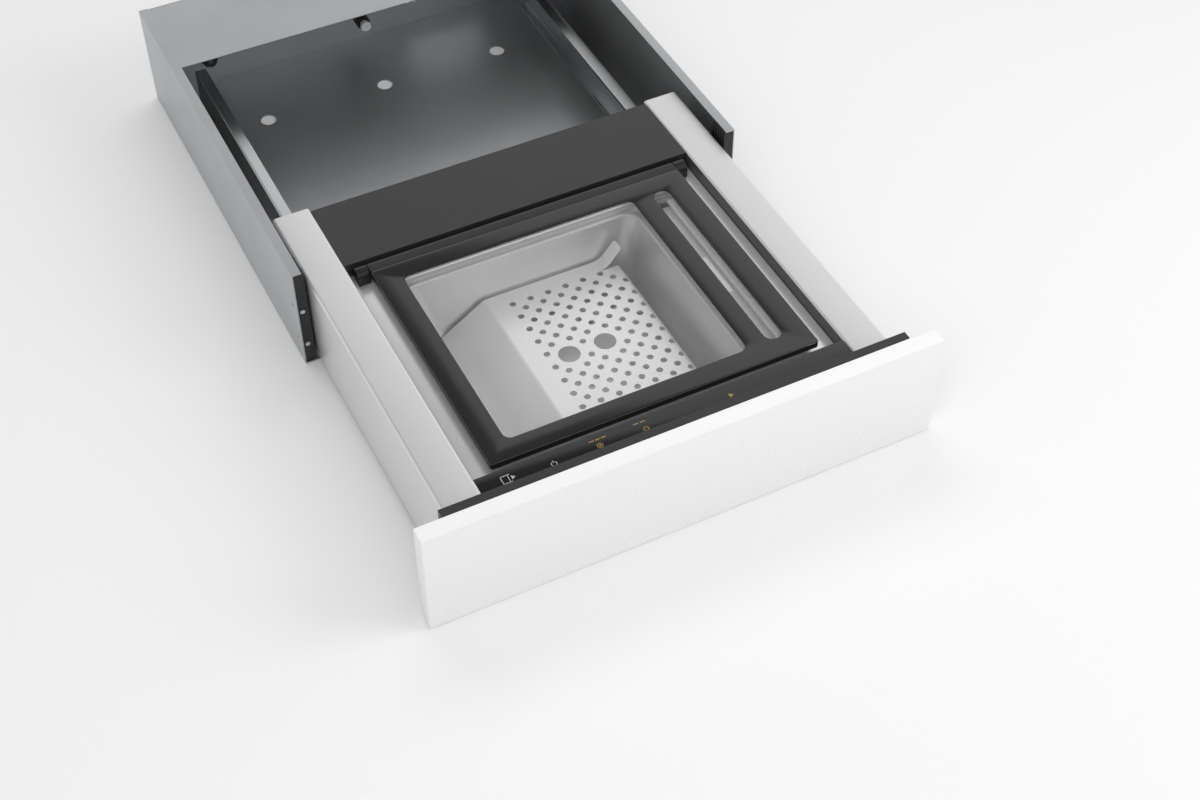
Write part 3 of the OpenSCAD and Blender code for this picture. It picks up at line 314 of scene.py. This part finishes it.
def mesh_from(bm, name):
    mesh = bpy.data.meshes.new(name)
    bm.to_mesh(mesh)
    bm.free()
    return mesh


def cut(bm, point, normal):
    """Adds edges where a plane crosses the mesh, and removes nothing."""
    bmesh.ops.bisect_plane(bm, geom=list(bm.verts) + list(bm.edges) + list(bm.faces), dist=1e-6,
                           plane_co=point, plane_no=normal)


def finish_mesh(ob, angle=35.0):
    """Smooth shading with hard edges above the angle."""
    for poly in ob.data.polygons:
        poly.use_smooth = True
    mod = ob.modifiers.new("edges", "EDGE_SPLIT")
    mod.split_angle = math.radians(angle)
    mod.use_edge_sharp = False


def piece(name, mesh, look, node, replaced=True, angle=35.0):
    """A piece that moves with its CAD node and, unless replaced is False, stands for it."""
    ob = new_object(name, mesh)
    mesh.materials.clear()
    mesh.materials.append(look)
    finish_mesh(ob, angle)
    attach(ob, body_of(node))
    if replaced:
        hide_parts(node)
    return ob


def sheet_of(ob, thickness, offset):
    """Gives a surface the thickness of its sheet, before its edges are split."""
    thick = ob.modifiers.new("sheet", "SOLIDIFY")
    thick.thickness = thickness
    thick.offset = offset
    ob.modifiers.move(len(ob.modifiers) - 1, 0)


def dress(node, width=0.0004, segments=2):
    """A copy of a CAD node with softened edges, which stands for the node."""
    bm = bmesh.new()
    bm.from_mesh(nodes[node].data)
    bmesh.ops.remove_doubles(bm, verts=bm.verts, dist=2e-6)
    bmesh.ops.dissolve_limit(bm, angle_limit=math.radians(0.6), verts=bm.verts, edges=bm.edges)
    mesh = mesh_from(bm, node + "_form")
    ob = new_object(node + "_dressed", mesh)
    mesh.materials.append(LOOKS[node])
    for poly in mesh.polygons:
        poly.use_smooth = True
    mod = ob.modifiers.new("soft", "BEVEL")
    mod.width = width
    mod.segments = segments
    mod.limit_method = "ANGLE"
    mod.angle_limit = math.radians(40)
    mod.harden_normals = True
    flat = ob.modifiers.new("normals", "WEIGHTED_NORMAL")
    flat.keep_sharp = True
    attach(ob, body_of(node))
    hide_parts(node)
    return ob


def outline_mesh(name, loops, low, high, bevel):
    """A plate from flat outlines, the first one outside and the others holes, with rounded edges."""
    curve = bpy.data.curves.new(name + "_curve", "CURVE")
    curve.dimensions = "2D"
    curve.fill_mode = "BOTH"
    curve.extrude = (high - low) / 2 - bevel
    curve.bevel_depth = bevel
    curve.bevel_resolution = 2
    curve.offset = -bevel
    for loop in loops:
        spline = curve.splines.new("POLY")
        spline.points.add(len(loop) - 1)
        for point, (x, y) in zip(spline.points, loop):
            point.co = (x, y, 0.0, 1.0)
        spline.use_cyclic_u = True
    holder = new_object(name + "_holder", curve)
    bpy.context.view_layer.update()
    mesh = bpy.data.meshes.new_from_object(holder.evaluated_get(bpy.context.evaluated_depsgraph_get()))
    bpy.data.objects.remove(holder)
    mesh.transform(Matrix.Translation((0, 0, (low + high) / 2)))
    bm = bmesh.new()
    bm.from_mesh(mesh)
    bmesh.ops.remove_doubles(bm, verts=bm.verts, dist=1e-6)
    bmesh.ops.recalc_face_normals(bm, faces=bm.faces)
    bm.to_mesh(mesh)
    bm.free()
    return mesh


def rounded(cx, cy, w, l, r, steps=12):
    """Outline of a rounded rectangle, going round to the left."""
    points = []
    for k, (sx, sy) in enumerate(((1, 1), (-1, 1), (-1, -1), (1, -1))):
        for i in range(steps + 1):
            a = math.radians(90 * k + 90 * i / steps)
            points.append((cx + sx * (w / 2 - r) + r * math.cos(a),
                           cy + sy * (l / 2 - r) + r * math.sin(a)))
    return points


def circle(cx, cy, r, steps=28):
    turns = [2 * math.pi * i / steps for i in range(steps)]
    return [(cx + r * math.cos(a), cy + r * math.sin(a)) for a in turns]


def grid_mesh(name, rows, closed=False, caps=(False, False)):
    """A surface through rows of points; closed joins each row's ends."""
    bm = bmesh.new()
    made = [[bm.verts.new(p) for p in row] for row in rows]
    for a, b in zip(made, made[1:]):
        n = len(a)
        for i in range(n if closed else n - 1):
            bm.faces.new((a[i], a[(i + 1) % n], b[(i + 1) % n], b[i]))
    for cap, row in ((caps[0], made[0]), (caps[1], made[-1])):
        if cap:
            bm.faces.new(row)
    bmesh.ops.recalc_face_normals(bm, faces=bm.faces)
    return mesh_from(bm, name)


def join(name, meshes):
    bm = bmesh.new()
    for mesh in meshes:
        bm.from_mesh(mesh)
    return mesh_from(bm, name)


def brick(name, low, high, r, steps=3):
    """A block with rounded edges."""
    bm = bmesh.new()
    bmesh.ops.create_cube(bm, size=1.0)
    for v in bm.verts:
        for k in range(3):
            v.co[k] = low[k] if v.co[k] < 0 else high[k]
    bmesh.ops.bevel(bm, geom=list(bm.edges), offset=r, segments=steps, profile=0.5, affect="EDGES")
    return mesh_from(bm, name)


# Sizes of the pieces that are made here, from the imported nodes
front_lo, front_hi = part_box("front_panel")
glass_lo, glass_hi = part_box("lid_glass")
print_lo, print_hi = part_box("lid_border")
deck_lo, deck_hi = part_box("deck_plate")
ctrl_lo, ctrl_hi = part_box("control_glass")
tank_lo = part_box("chamber_tank")[0]
bar_lo, bar_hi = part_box("seal_bar")
win_x = -0.0225                     # centre of the chamber and of the lid's large window
win_y = (bar_lo.y + bar_hi.y) / 2   # centre of the chamber and of the sealing bar
bar_x = (bar_lo.x + bar_hi.x) / 2

# Front panel: lacquered board with softened edges
piece("front_board", brick("front_board", front_lo, front_hi, 0.0013, 4), LACQUER, "front_panel",
      angle=60)

wall_sheet, wall_fold = 0.0012, 0.003


# Side walls: folded sheet with a round fold along both top edges
def wall_mesh(name, lo, hi, side):
    r = wall_fold
    inner, outer = (lo.x, hi.x) if side > 0 else (hi.x, lo.x)
    out = 1 if side > 0 else -1
    profile = [(inner, lo.z)]
    for i in range(9):
        a = math.radians(180 - 90 * i / 8)
        profile.append((inner + out * (r + r * math.cos(a)), hi.z - r + r * math.sin(a)))
    for i in range(9):
        a = math.radians(90 - 90 * i / 8)
        profile.append((outer - out * (r - r * math.cos(a)), hi.z - r + r * math.sin(a)))
    profile.append((outer, lo.z))
    return grid_mesh(name, [[(x, y, z) for x, z in profile] for y in (lo.y, hi.y)])


for node, side in (("side_wall_left", -1), ("side_wall_right", 1)):
    lo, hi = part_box(node)
    ob = piece(node + "_sheet", wall_mesh(node + "_sheet", lo, hi, side), WALL, node, angle=50)
    # The walls' inner faces take the dark copy of the wall steel: painted shade
    ob.data.materials.append(WALL_INNER_SHADE)
    for poly in ob.data.polygons:
        if abs(poly.normal.x) > 0.9 and abs(poly.center.x) < (abs(lo.x) + abs(hi.x)) / 2:
            poly.material_index = 1
    sheet_of(ob, wall_sheet, 1.0 if side < 0 else -1.0)

# Nodes that keep their CAD form, with softened edges
for node, width in (("front_carrier", 0.0006), ("hinge_brackets", 0.0008), ("hinge_bar", 0.0008),
                    ("control_housing", 0.0004), ("mount_strips", 0.0003), ("rear_cover", 0.0005),
                    ("side_panels", 0.0003), ("base_pan", 0.0003), ("rear_panel", 0.0003),
                    ("top_brace", 0.0003), ("outer_rails", 0.0003), ("middle_rails", 0.0003),
                    ("inner_rails", 0.0003),
                    ("pump_motor", 0.0015), ("pump_head", 0.0008), ("transformer", 0.0006),
                    ("vacuum_valve", 0.0006), ("fan_frame", 0.0006), ("latch_body", 0.0005),
                    ("cable_gland", 0.0005), ("latch_plunger", 0.0005), ("floor_pan", 0.0003),
                    ("rear_wall", 0.0003), ("front_brackets", 0.0003), ("bag_clip", 0.0002),
                    ("counter_bar", 0.0008)):
    dress(node, width)

# Control strip: black glass with softened edges
piece("control_panel_glass", brick("control_panel_glass", ctrl_lo, ctrl_hi, 0.0006), GLOSS,
      "control_glass", angle=60)


def sheet_outline(lo, hi, r, steps=12):
    """Outline of a rounded rectangle that fills a box seen from above."""
    return rounded((lo.x + hi.x) / 2, (lo.y + hi.y) / 2, hi.x - lo.x, hi.y - lo.y, r, steps)


# Lid glass
lid_corner = 0.003
pane_mesh = outline_mesh("lid_pane", [sheet_outline(glass_lo, glass_hi, lid_corner)],
                         glass_lo.z, glass_hi.z, 0.0006)
pane = piece("lid_pane", pane_mesh, GLASS, "lid_glass", angle=30)
pane.data.materials.append(GLASS_EDGE)
pane.data.materials.append(GLASS_BEVEL)
for poly in pane.data.polygons:
    poly.material_index = 0 if abs(poly.normal.z) > 0.95 else (2 if poly.normal.z > 0.2 else 1)

# Print on the lid, with its two clear windows: one over the chamber, a narrow one over the bar
print_y = win_y + 0.0011
window = rounded(win_x, print_y + 0.0006, 0.282, 0.2674, 0.009)
slot_x, slot_w, slot_l = 0.15345, 0.0205, 0.2652
slot_win = rounded(slot_x, print_y, slot_w, slot_l, slot_w / 2 - 0.00001)
film = outline_mesh("lid_print", [sheet_outline(print_lo, print_hi, lid_corner), window, slot_win],
                    print_lo.z + 0.00005, print_hi.z, 0.0001)
piece("lid_print", film, PRINT, "lid_border", angle=30)

# Deck: bright sheet, cut out for the tank, the trough of the sealing bar and the cable
roll = 0.0022                       # radius of the tank's rolled rim
tank_w, tank_l, tank_corner = 0.288, 0.270, 0.018
cable_x, cable_y = deck_hi.x - 0.030, front_hi.y + 0.029
tank_cut = rounded(win_x, win_y, tank_w + 2 * roll, tank_l + 2 * roll, tank_corner + roll)
trough_cut = rounded(bar_x, win_y, 0.030, 0.270, 0.0149)
cable_cut = rounded(cable_x + 0.008, cable_y + 0.0006, 0.018, 0.0032, 0.0004, 2)
deck_loops = [sheet_outline(deck_lo, deck_hi, 0.0006, 2), tank_cut, trough_cut, cable_cut]
piece("deck_sheet", outline_mesh("deck_sheet", deck_loops, deck_lo.z, deck_hi.z, 0.00015), DECK,
      "deck_plate", angle=30)


tank_sheet = 0.001


# Chamber tank: deep drawn, with a rounded rim, leaning walls and a round foot
def tank_rows():
    floor_z = tank_lo.z + tank_sheet
    rim_z = deck_lo.z
    lean_all, fillet = 0.020, 0.020
    flange = 0.0015             # what is left of the sheet's edge under the deck
    widen = 0.35                # how much the corners widen as the walls lean

    def lean(z):
        return lean_all * (rim_z - z) / (rim_z - floor_z)

    def ring(out, r, z):
        """The tank's outline at one height, grown by out on every side."""
        return [(x, y, z) for x, y in rounded(win_x, win_y, tank_w + 2 * out, tank_l + 2 * out, r)]

    rows = [ring(out, tank_corner + roll, deck_lo.z - 0.0001) for out in (roll + flange, roll)]
    for i in range(9):
        a = math.radians(90 * i / 8)
        out = roll * (1 - math.sin(a))
        rows.append(ring(out, tank_corner + out, deck_hi.z - roll * (1 - math.cos(a))))
    top = deck_hi.z - roll
    for k in range(1, 6):
        z = top - (top - floor_z - fillet) * k / 5
        inset = max(0.0, lean(z))
        rows.append(ring(-inset, tank_corner + inset * widen, z))
    for i in range(1, 13):
        a = math.radians(90 - 90 * i / 12)
        z = floor_z + fillet * (1 - math.cos(a))
        turned = fillet * (1 - math.sin(a))
        rows.append(ring(-lean(z) - turned, max(0.004, tank_corner + lean(z) * widen - 0.6 * turned), z))
    return rows


tank_mesh = grid_mesh("tank_shell", tank_rows(), closed=True, caps=(False, True))
tank = piece("tank_shell", tank_mesh, TANK, "chamber_tank", angle=75)
tank.data.materials.append(TANK_FLOOR_PAINTED_LIGHT)
tank.data.materials.append(RIM)
# The rolled rim takes the rim steel; the flat floor takes the painted-light copy of the tank steel
for poly in tank.data.polygons:
    if poly.center.z > deck_hi.z - roll:
        poly.material_index = 2
    elif abs(poly.normal.z) > 0.98 and poly.center.z < tank_lo.z + 0.004:
        poly.material_index = 1
sheet_of(tank, tank_sheet, 1.0)

# Satin collar of the tank on the deck, inside the gasket
collar_loops = [rounded(win_x, win_y, tank_w + 0.0096, tank_l + 0.0056, tank_corner + 0.0036), tank_cut]
collar = outline_mesh("tank_collar", collar_loops, deck_hi.z + 0.00005, deck_hi.z + 0.00035, 0.0001)
piece("tank_collar", collar, RIM, "chamber_tank", replaced=False, angle=30)

# Trough of the sealing bar and the bar itself
dress("seal_trough", 0.0003)
dress("seal_bar", 0.0005, 3)

# Gasket, with a lighter lip: its upper 1.7 mm is painted near-white, a painted highlight where it meets the
# glass
gasket = dress("chamber_gasket", 0.001, 3)
painted_highlight_z = glass_lo.z - 0.0017
bm = bmesh.new()
bm.from_mesh(gasket.data)
cut(bm, (0, 0, painted_highlight_z), (0, 0, 1))
bm.to_mesh(gasket.data)
bm.free()
gasket.data.materials.append(GASKET_LIP_HIGHLIGHT)
for poly in gasket.data.polygons:
    poly.material_index = 1 if poly.center.z > painted_highlight_z else 0


# Perforated insert: one sheet, drawn flat, cut, and then bent. The ramp goes down on the left, the
# right edge turns down, and a lug turns up at each of its two corners.
def insert_mesh():
    top, t = 0.0602, 0.0012     # height of the flat, thickness of the sheet
    pitch = 0.02204             # of the holes along a row
    hole_r, finger_r = 0.0037, 0.0125
    clear = 0.0172              # from a finger hole's centre to the nearest small hole's
    half = 0.120025             # half the sheet's length
    flat_right = 0.0885044
    px = flat_right - 3 * pitch - 0.00598   # middle of the perforation and of one finger hole
    flat_left = px - pitch * 4.1
    edge_r, edge_drop = 0.006, 0.016
    ear_w, ear_r, ear_turn, ear_run = 0.017, 0.020, math.radians(50), 0.0285
    ramp_in, ramp_out, slope, corner = 0.012, 0.006, math.radians(26), 0.009
    foot = win_x - tank_w / 2 + 0.028
    run = flat_left - foot - (ramp_in + ramp_out) * math.sin(slope)
    drop = run * math.tan(slope)
    low = top - (ramp_in + ramp_out) * (1 - math.cos(slope)) - drop
    wall_slope = 0.020 / 0.0818             # the lean of the tank's walls
    foot_half = half - (top - low) * wall_slope - 0.0015
    taper = math.atan((half - foot_half) / (flat_left - foot))
    arc_in, straight, arc_out = ramp_in * slope, drop / math.sin(slope), ramp_out * slope
    bend = flat_right - edge_r
    ear_x = flat_right - ear_run
    ear_arc = ear_r * ear_turn
    ear_rest = (ear_run + 0.0006 - ear_r * math.sin(ear_turn)) / math.cos(ear_turn)

    def place(u, v, dz):
        """Where a point of the flat cut lies once the sheet is bent; dz is its depth below the upper face."""
        if u < flat_left:
            s = flat_left - u
            a = min(s, arc_in) / ramp_in
            x, z = flat_left - (ramp_in + dz) * math.sin(a), top - ramp_in + (ramp_in + dz) * math.cos(a)
            if s > arc_in:
                go = min(s - arc_in, straight)
                x, z = x - go * math.cos(slope), z - go * math.sin(slope)
                if s - arc_in > straight:
                    b = slope - (s - arc_in - straight) / ramp_out
                    x = foot + (ramp_out - dz) * math.sin(b)
                    z = low + ramp_out - (ramp_out - dz) * math.cos(b)
            return x, v, z
        if abs(v) > half - ear_w and u > ear_x:
            s = u - ear_x
            a = min(s, ear_arc) / ear_r
            x, z = ear_x + (ear_r - dz) * math.sin(a), top + ear_r - (ear_r - dz) * math.cos(a)
            go = max(0.0, s - ear_arc)
            return x + go * math.cos(ear_turn), v, z + go * math.sin(ear_turn)
        if u > bend:
            s = u - bend
            a = min(s / edge_r, math.pi / 2)
            go = max(0.0, s - edge_r * math.pi / 2)
            return bend + (edge_r + dz) * math.sin(a), v, top - edge_r + (edge_r + dz) * math.cos(a) - go
        return u, v, top + dz

    def plan_x(u):
        return place(u, 0.0, 0.0)[0]

    def reach(x):
        """Half length of the sheet at x: the ramp narrows towards its foot, as the tank does."""
        if x > flat_left:
            return half
        side = half - (flat_left - x) * math.tan(taper)
        cx = foot + corner
        cy = half - (corner + math.sin(taper) * (flat_left - cx)) / math.cos(taper)
        if x < cx - corner * math.sin(taper):
            return cy + math.sqrt(max(0.0, corner * corner - (cx - x) ** 2))
        return side

    start = flat_left - arc_in - straight - arc_out
    lows = [start + (flat_left - start) * (1 - math.cos(math.pi * i / 80)) / 2 for i in range(81)]
    side = [(u, reach(plan_x(u))) for u in lows]
    end = ear_x + ear_arc + ear_rest
    tip, split = 0.003, 0.0004              # radius of the lug's corners, half its gap to the edge
    turns = (0.0, 0.4, 0.8, 1.2, math.pi / 2)
    ear_in = half - ear_w + split
    side += [(ear_x, half)]
    side += [(end - tip + tip * math.sin(a), half - tip + tip * math.cos(a)) for a in turns]
    side += [(end - tip + tip * math.cos(a), ear_in + tip - tip * math.sin(a)) for a in turns]
    side += [(ear_x, ear_in), (ear_x, half - ear_w - split)]
    last = bend + edge_r * math.pi / 2 + edge_drop
    side += [(last, half - ear_w - split)]
    outline = [(u, -v) for u, v in side] + [(u, v) for u, v in reversed(side)]

    def unroll(x):
        return x if x < bend else bend + edge_r * math.asin(min(1.0, (x - bend) / edge_r))

    holes = []
    for row in range(19):
        odd = row % 2
        y = (row - 9) * pitch / 2
        for col in range(7 - odd):
            x = px + (col - (6 - odd) / 2) * pitch
            near = min(math.hypot(x - px, y), math.hypot(x - px + 2 * pitch, y))
            if near > clear and not (col == 6 and abs(row - 9) == 9):
                holes.append([(unroll(a), b) for a, b in circle(x, y, hole_r)])
    holes += [circle(px, 0.0, finger_r, 48), circle(px - 2 * pitch, 0.0, finger_r, 48)]
    mesh = outline_mesh("insert_sheet", [outline] + holes, -t, 0.0, 0.00015)
    cuts = [flat_left - arc_in * i / 8 for i in range(9)]
    cuts += [flat_left - arc_in - straight - arc_out * i / 8 for i in range(8)]
    cuts += [bend + edge_r * math.pi / 2 * i / 10 for i in range(11)]
    cuts += [ear_x + ear_arc * i / 12 for i in range(13)]
    bm = bmesh.new()
    bm.from_mesh(mesh)
    for u in cuts:
        cut(bm, (u, 0, 0), (1, 0, 0))
    for k in range(9):
        cut(bm, (0, -half + 2 * half * (k + 0.5) / 9, 0), (0, 1, 0))
    for v in bm.verts:
        x, y, z = place(v.co.x, v.co.y, v.co.z)
        v.co = (x, win_y + y, z)
    bm.to_mesh(mesh)
    bm.free()
    return mesh


insert = piece("insert_field", insert_mesh(), INSERT, "insert_plate", angle=38)
# Downward faces right of the ramp's lower end take the painted-light copy of the insert steel
insert.data.materials.append(INSERT_UNDERSIDE_PAINTED_LIGHT)
for poly in insert.data.polygons:
    poly.material_index = 1 if poly.normal.z < -0.5 and poly.center.x > win_x - 0.09 else 0
even = insert.modifiers.new("even", "WEIGHTED_NORMAL")
even.weight = 100
even.keep_sharp = True


# Touch symbols on the control strip, all generic ---------------------------------------------
def symbol(name, cx, cy, loops, look):
    """A thin flat sign on the glass; its loops are in millimetres round the sign's centre."""
    meshes = []
    for k, group in enumerate(loops):
        shifted = [[(cx + x * MM, cy + y * MM) for x, y in loop] for loop in group]
        low, high = ctrl_hi.z + 0.00002, ctrl_hi.z + 0.00008
        meshes.append(outline_mesh(f"{name}_{k}", shifted, low, high, 0.00001))
    piece(name, join(name, meshes), look, "control_glass", replaced=False)


def arc_band(r, t, start, end, steps=28):
    """Part of a ring of thickness t, from one angle to another."""
    turns = [math.radians(start + (end - start) * i / steps) for i in range(steps + 1)]
    outer = [(r * math.cos(a), r * math.sin(a)) for a in turns]
    inner = [(x * (r - t) / r, y * (r - t) / r) for x, y in reversed(outer)]
    return [outer + inner]


def bar(x0, y0, x1, y1):
    return [[(x0, y0), (x1, y0), (x1, y1), (x0, y1)]]


def stroke(points, t):
    """An open line of straight strokes of one width."""
    out = []
    for (x0, y0), (x1, y1) in zip(points, points[1:]):
        n = math.hypot(x1 - x0, y1 - y0)
        dx, dy = (x1 - x0) / n * t / 2, (y1 - y0) / n * t / 2
        out.append([[(x0 - dx - dy, y0 - dy + dx), (x0 - dx + dy, y0 - dy - dx),
                     (x1 + dx + dy, y1 + dy - dx), (x1 + dx - dy, y1 + dy + dx)]])
    return out


sy = front_hi.y
pouch = [(2.4, 5.0), (-7.0, 5.0), (-7.0, -5.0), (2.4, -5.0)]
diamond = [(3.6, 0.0), (0.0, 3.0), (-3.6, 0.0), (0.0, -3.0), (3.6, 0.0)]
arrow = [(3.4, -2.8), (7.6, 0.0), (3.4, 2.8)]
symbol("icon_bag", -0.183, sy + 0.0305,
       stroke(pouch, 0.9) + [bar(0.2, -5.0, 1.0, 5.0), [arrow]], ICON_WHITE)
symbol("icon_power", -0.134, sy + 0.0275,
       [arc_band(3.3, 0.8, 125, 415), bar(-0.4, 1.2, 0.4, 4.4)], ICON_WHITE)
symbol("level_bars_a", -0.081, sy + 0.037,
       [bar(-9.5, -0.6, -4.2, 0.6), bar(-2.6, -0.6, 2.7, 0.6), bar(4.2, -0.6, 9.5, 0.6)], ICON_AMBER)
symbol("icon_vacuum", -0.082, sy + 0.0285,
       [arc_band(3.4, 0.7, 0, 359), [circle(0.0, 0.0, 1.3, 16)]], ICON_AMBER)
symbol("level_bars_b", -0.033, sy + 0.038,
       [bar(-6.8, -0.6, -0.9, 0.6), bar(0.9, -0.6, 6.8, 0.6)], ICON_AMBER)
symbol("icon_seal", -0.030, sy + 0.0275, stroke(diamond, 0.8), ICON_AMBER)
symbol("icon_start", 0.070, sy + 0.029, [[[(-2.4, -3), (2.8, 0), (-2.4, 3)]]], ICON_AMBER)


# Floor, light and camera ---------------------------------------------------------------------
floor_mesh = bpy.data.meshes.new("floor")
floor_half, floor_z = 8.0, -0.0005
floor_corners = [(x * floor_half, y * floor_half, floor_z) for x, y in ((-1, -1), (1, -1), (1, 1), (-1, 1))]
floor_mesh.from_pydata(floor_corners, [], [(0, 1, 2, 3)])
floor = new_object("floor", floor_mesh)
floor_look, tree, shader = material("floor_pale", (0.86, 0.86, 0.86), 0.6)
tree.links.new(spread(tree, noise(tree, (1.0, 1.0, 1.0), 60.0), 0.58, 0.66), shader.inputs["Roughness"])
floor_mesh.materials.append(floor_look)

world = bpy.data.worlds.new("studio")
bpy.context.scene.world = world
world.use_nodes = True
wt = world.node_tree


def backdrop(node, value, strength):
    node.inputs["Color"].default_value = (value, value, value, 1.0)
    node.inputs["Strength"].default_value = strength
    return node


def pick(fac, first, second):
    """The second shader where fac is 1, else the first."""
    mix = wt.nodes.new("ShaderNodeMixShader")
    wt.links.new(fac, mix.inputs["Fac"])
    wt.links.new(first, mix.inputs[1])
    wt.links.new(second, mix.inputs[2])
    return mix.outputs["Shader"]


back = backdrop(wt.nodes["Background"], 0.94, 0.62)                     # lights the part
white = backdrop(wt.nodes.new("ShaderNodeBackground"), 1.0, 1.0)        # what the camera sees
# What gloss and metal mirror: a white room whose ceiling is dimmer
room = backdrop(wt.nodes.new("ShaderNodeBackground"), 1.0, 1.0)
way = wt.nodes.new("ShaderNodeTexCoord")
slope_of = wt.nodes.new("ShaderNodeVectorMath")
slope_of.operation = "DOT_PRODUCT"
slope_of.inputs[1].default_value = (-0.35, 0.0, 1.0)
wt.links.new(way.outputs["Generated"], slope_of.inputs[0])
dim = wt.nodes.new("ShaderNodeMapRange")
dim.interpolation_type = "SMOOTHSTEP"
for key, value in (("From Min", 0.58), ("From Max", 0.71), ("To Min", 1.0), ("To Max", 0.25)):
    dim.inputs[key].default_value = value
wt.links.new(slope_of.outputs["Value"], dim.inputs["Value"])
wt.links.new(dim.outputs["Result"], room.inputs["Strength"])
paths = wt.nodes.new("ShaderNodeLightPath").outputs
lit = pick(paths["Is Glossy Ray"], back.outputs["Background"], room.outputs["Background"])
seen = compute(wt, "MAXIMUM", paths["Is Camera Ray"], paths["Is Transmission Ray"])
wt.links.new(pick(seen, lit, white.outputs["Background"]), wt.nodes["World Output"].inputs["Surface"])


def lamp(name, place, target, size, power):
    """A soft rectangular lamp that points at a target."""
    data = bpy.data.lights.new(name, "AREA")
    data.shape = "RECTANGLE"
    data.size, data.size_y = size
    data.energy = power
    ob = new_object(name, data)
    ob.location = place
    ob.rotation_euler = (Vector(target) - Vector(place)).to_track_quat("-Z", "Y").to_euler()
    ob.visible_glossy = False


lamp("key", (-1.3, -2.0, 2.2), (0, -0.4, 0.1), (1.6, 1.6), 21)
lamp("fill", (1.8, -1.6, 1.6), (0, -0.4, 0.1), (1.4, 1.4), 22)
lamp("top", (0.2, 0.9, 2.2), (0, -0.3, 0.1), (2.0, 1.0), 14)

cam_data = bpy.data.cameras.new("camera")
cam_data.lens = 56.627
cam_data.sensor_width = 36.0
cam_data.clip_end = 60.0
camera = new_object("camera", cam_data)
right = Vector((0.891805, -0.452418, -0.001493))
up = Vector((0.332584, 0.653346, 0.680093))
away = Vector((-0.306711, -0.607007, 0.733124))
turn = Matrix((right, up, away)).transposed().to_4x4()
camera.matrix_world = Matrix.Translation((-0.649676, front_hi.y - 1.094748, 1.544255)) @ turn
bpy.context.scene.camera = camera
bpy.context.scene.view_settings.view_transform = "Standard"
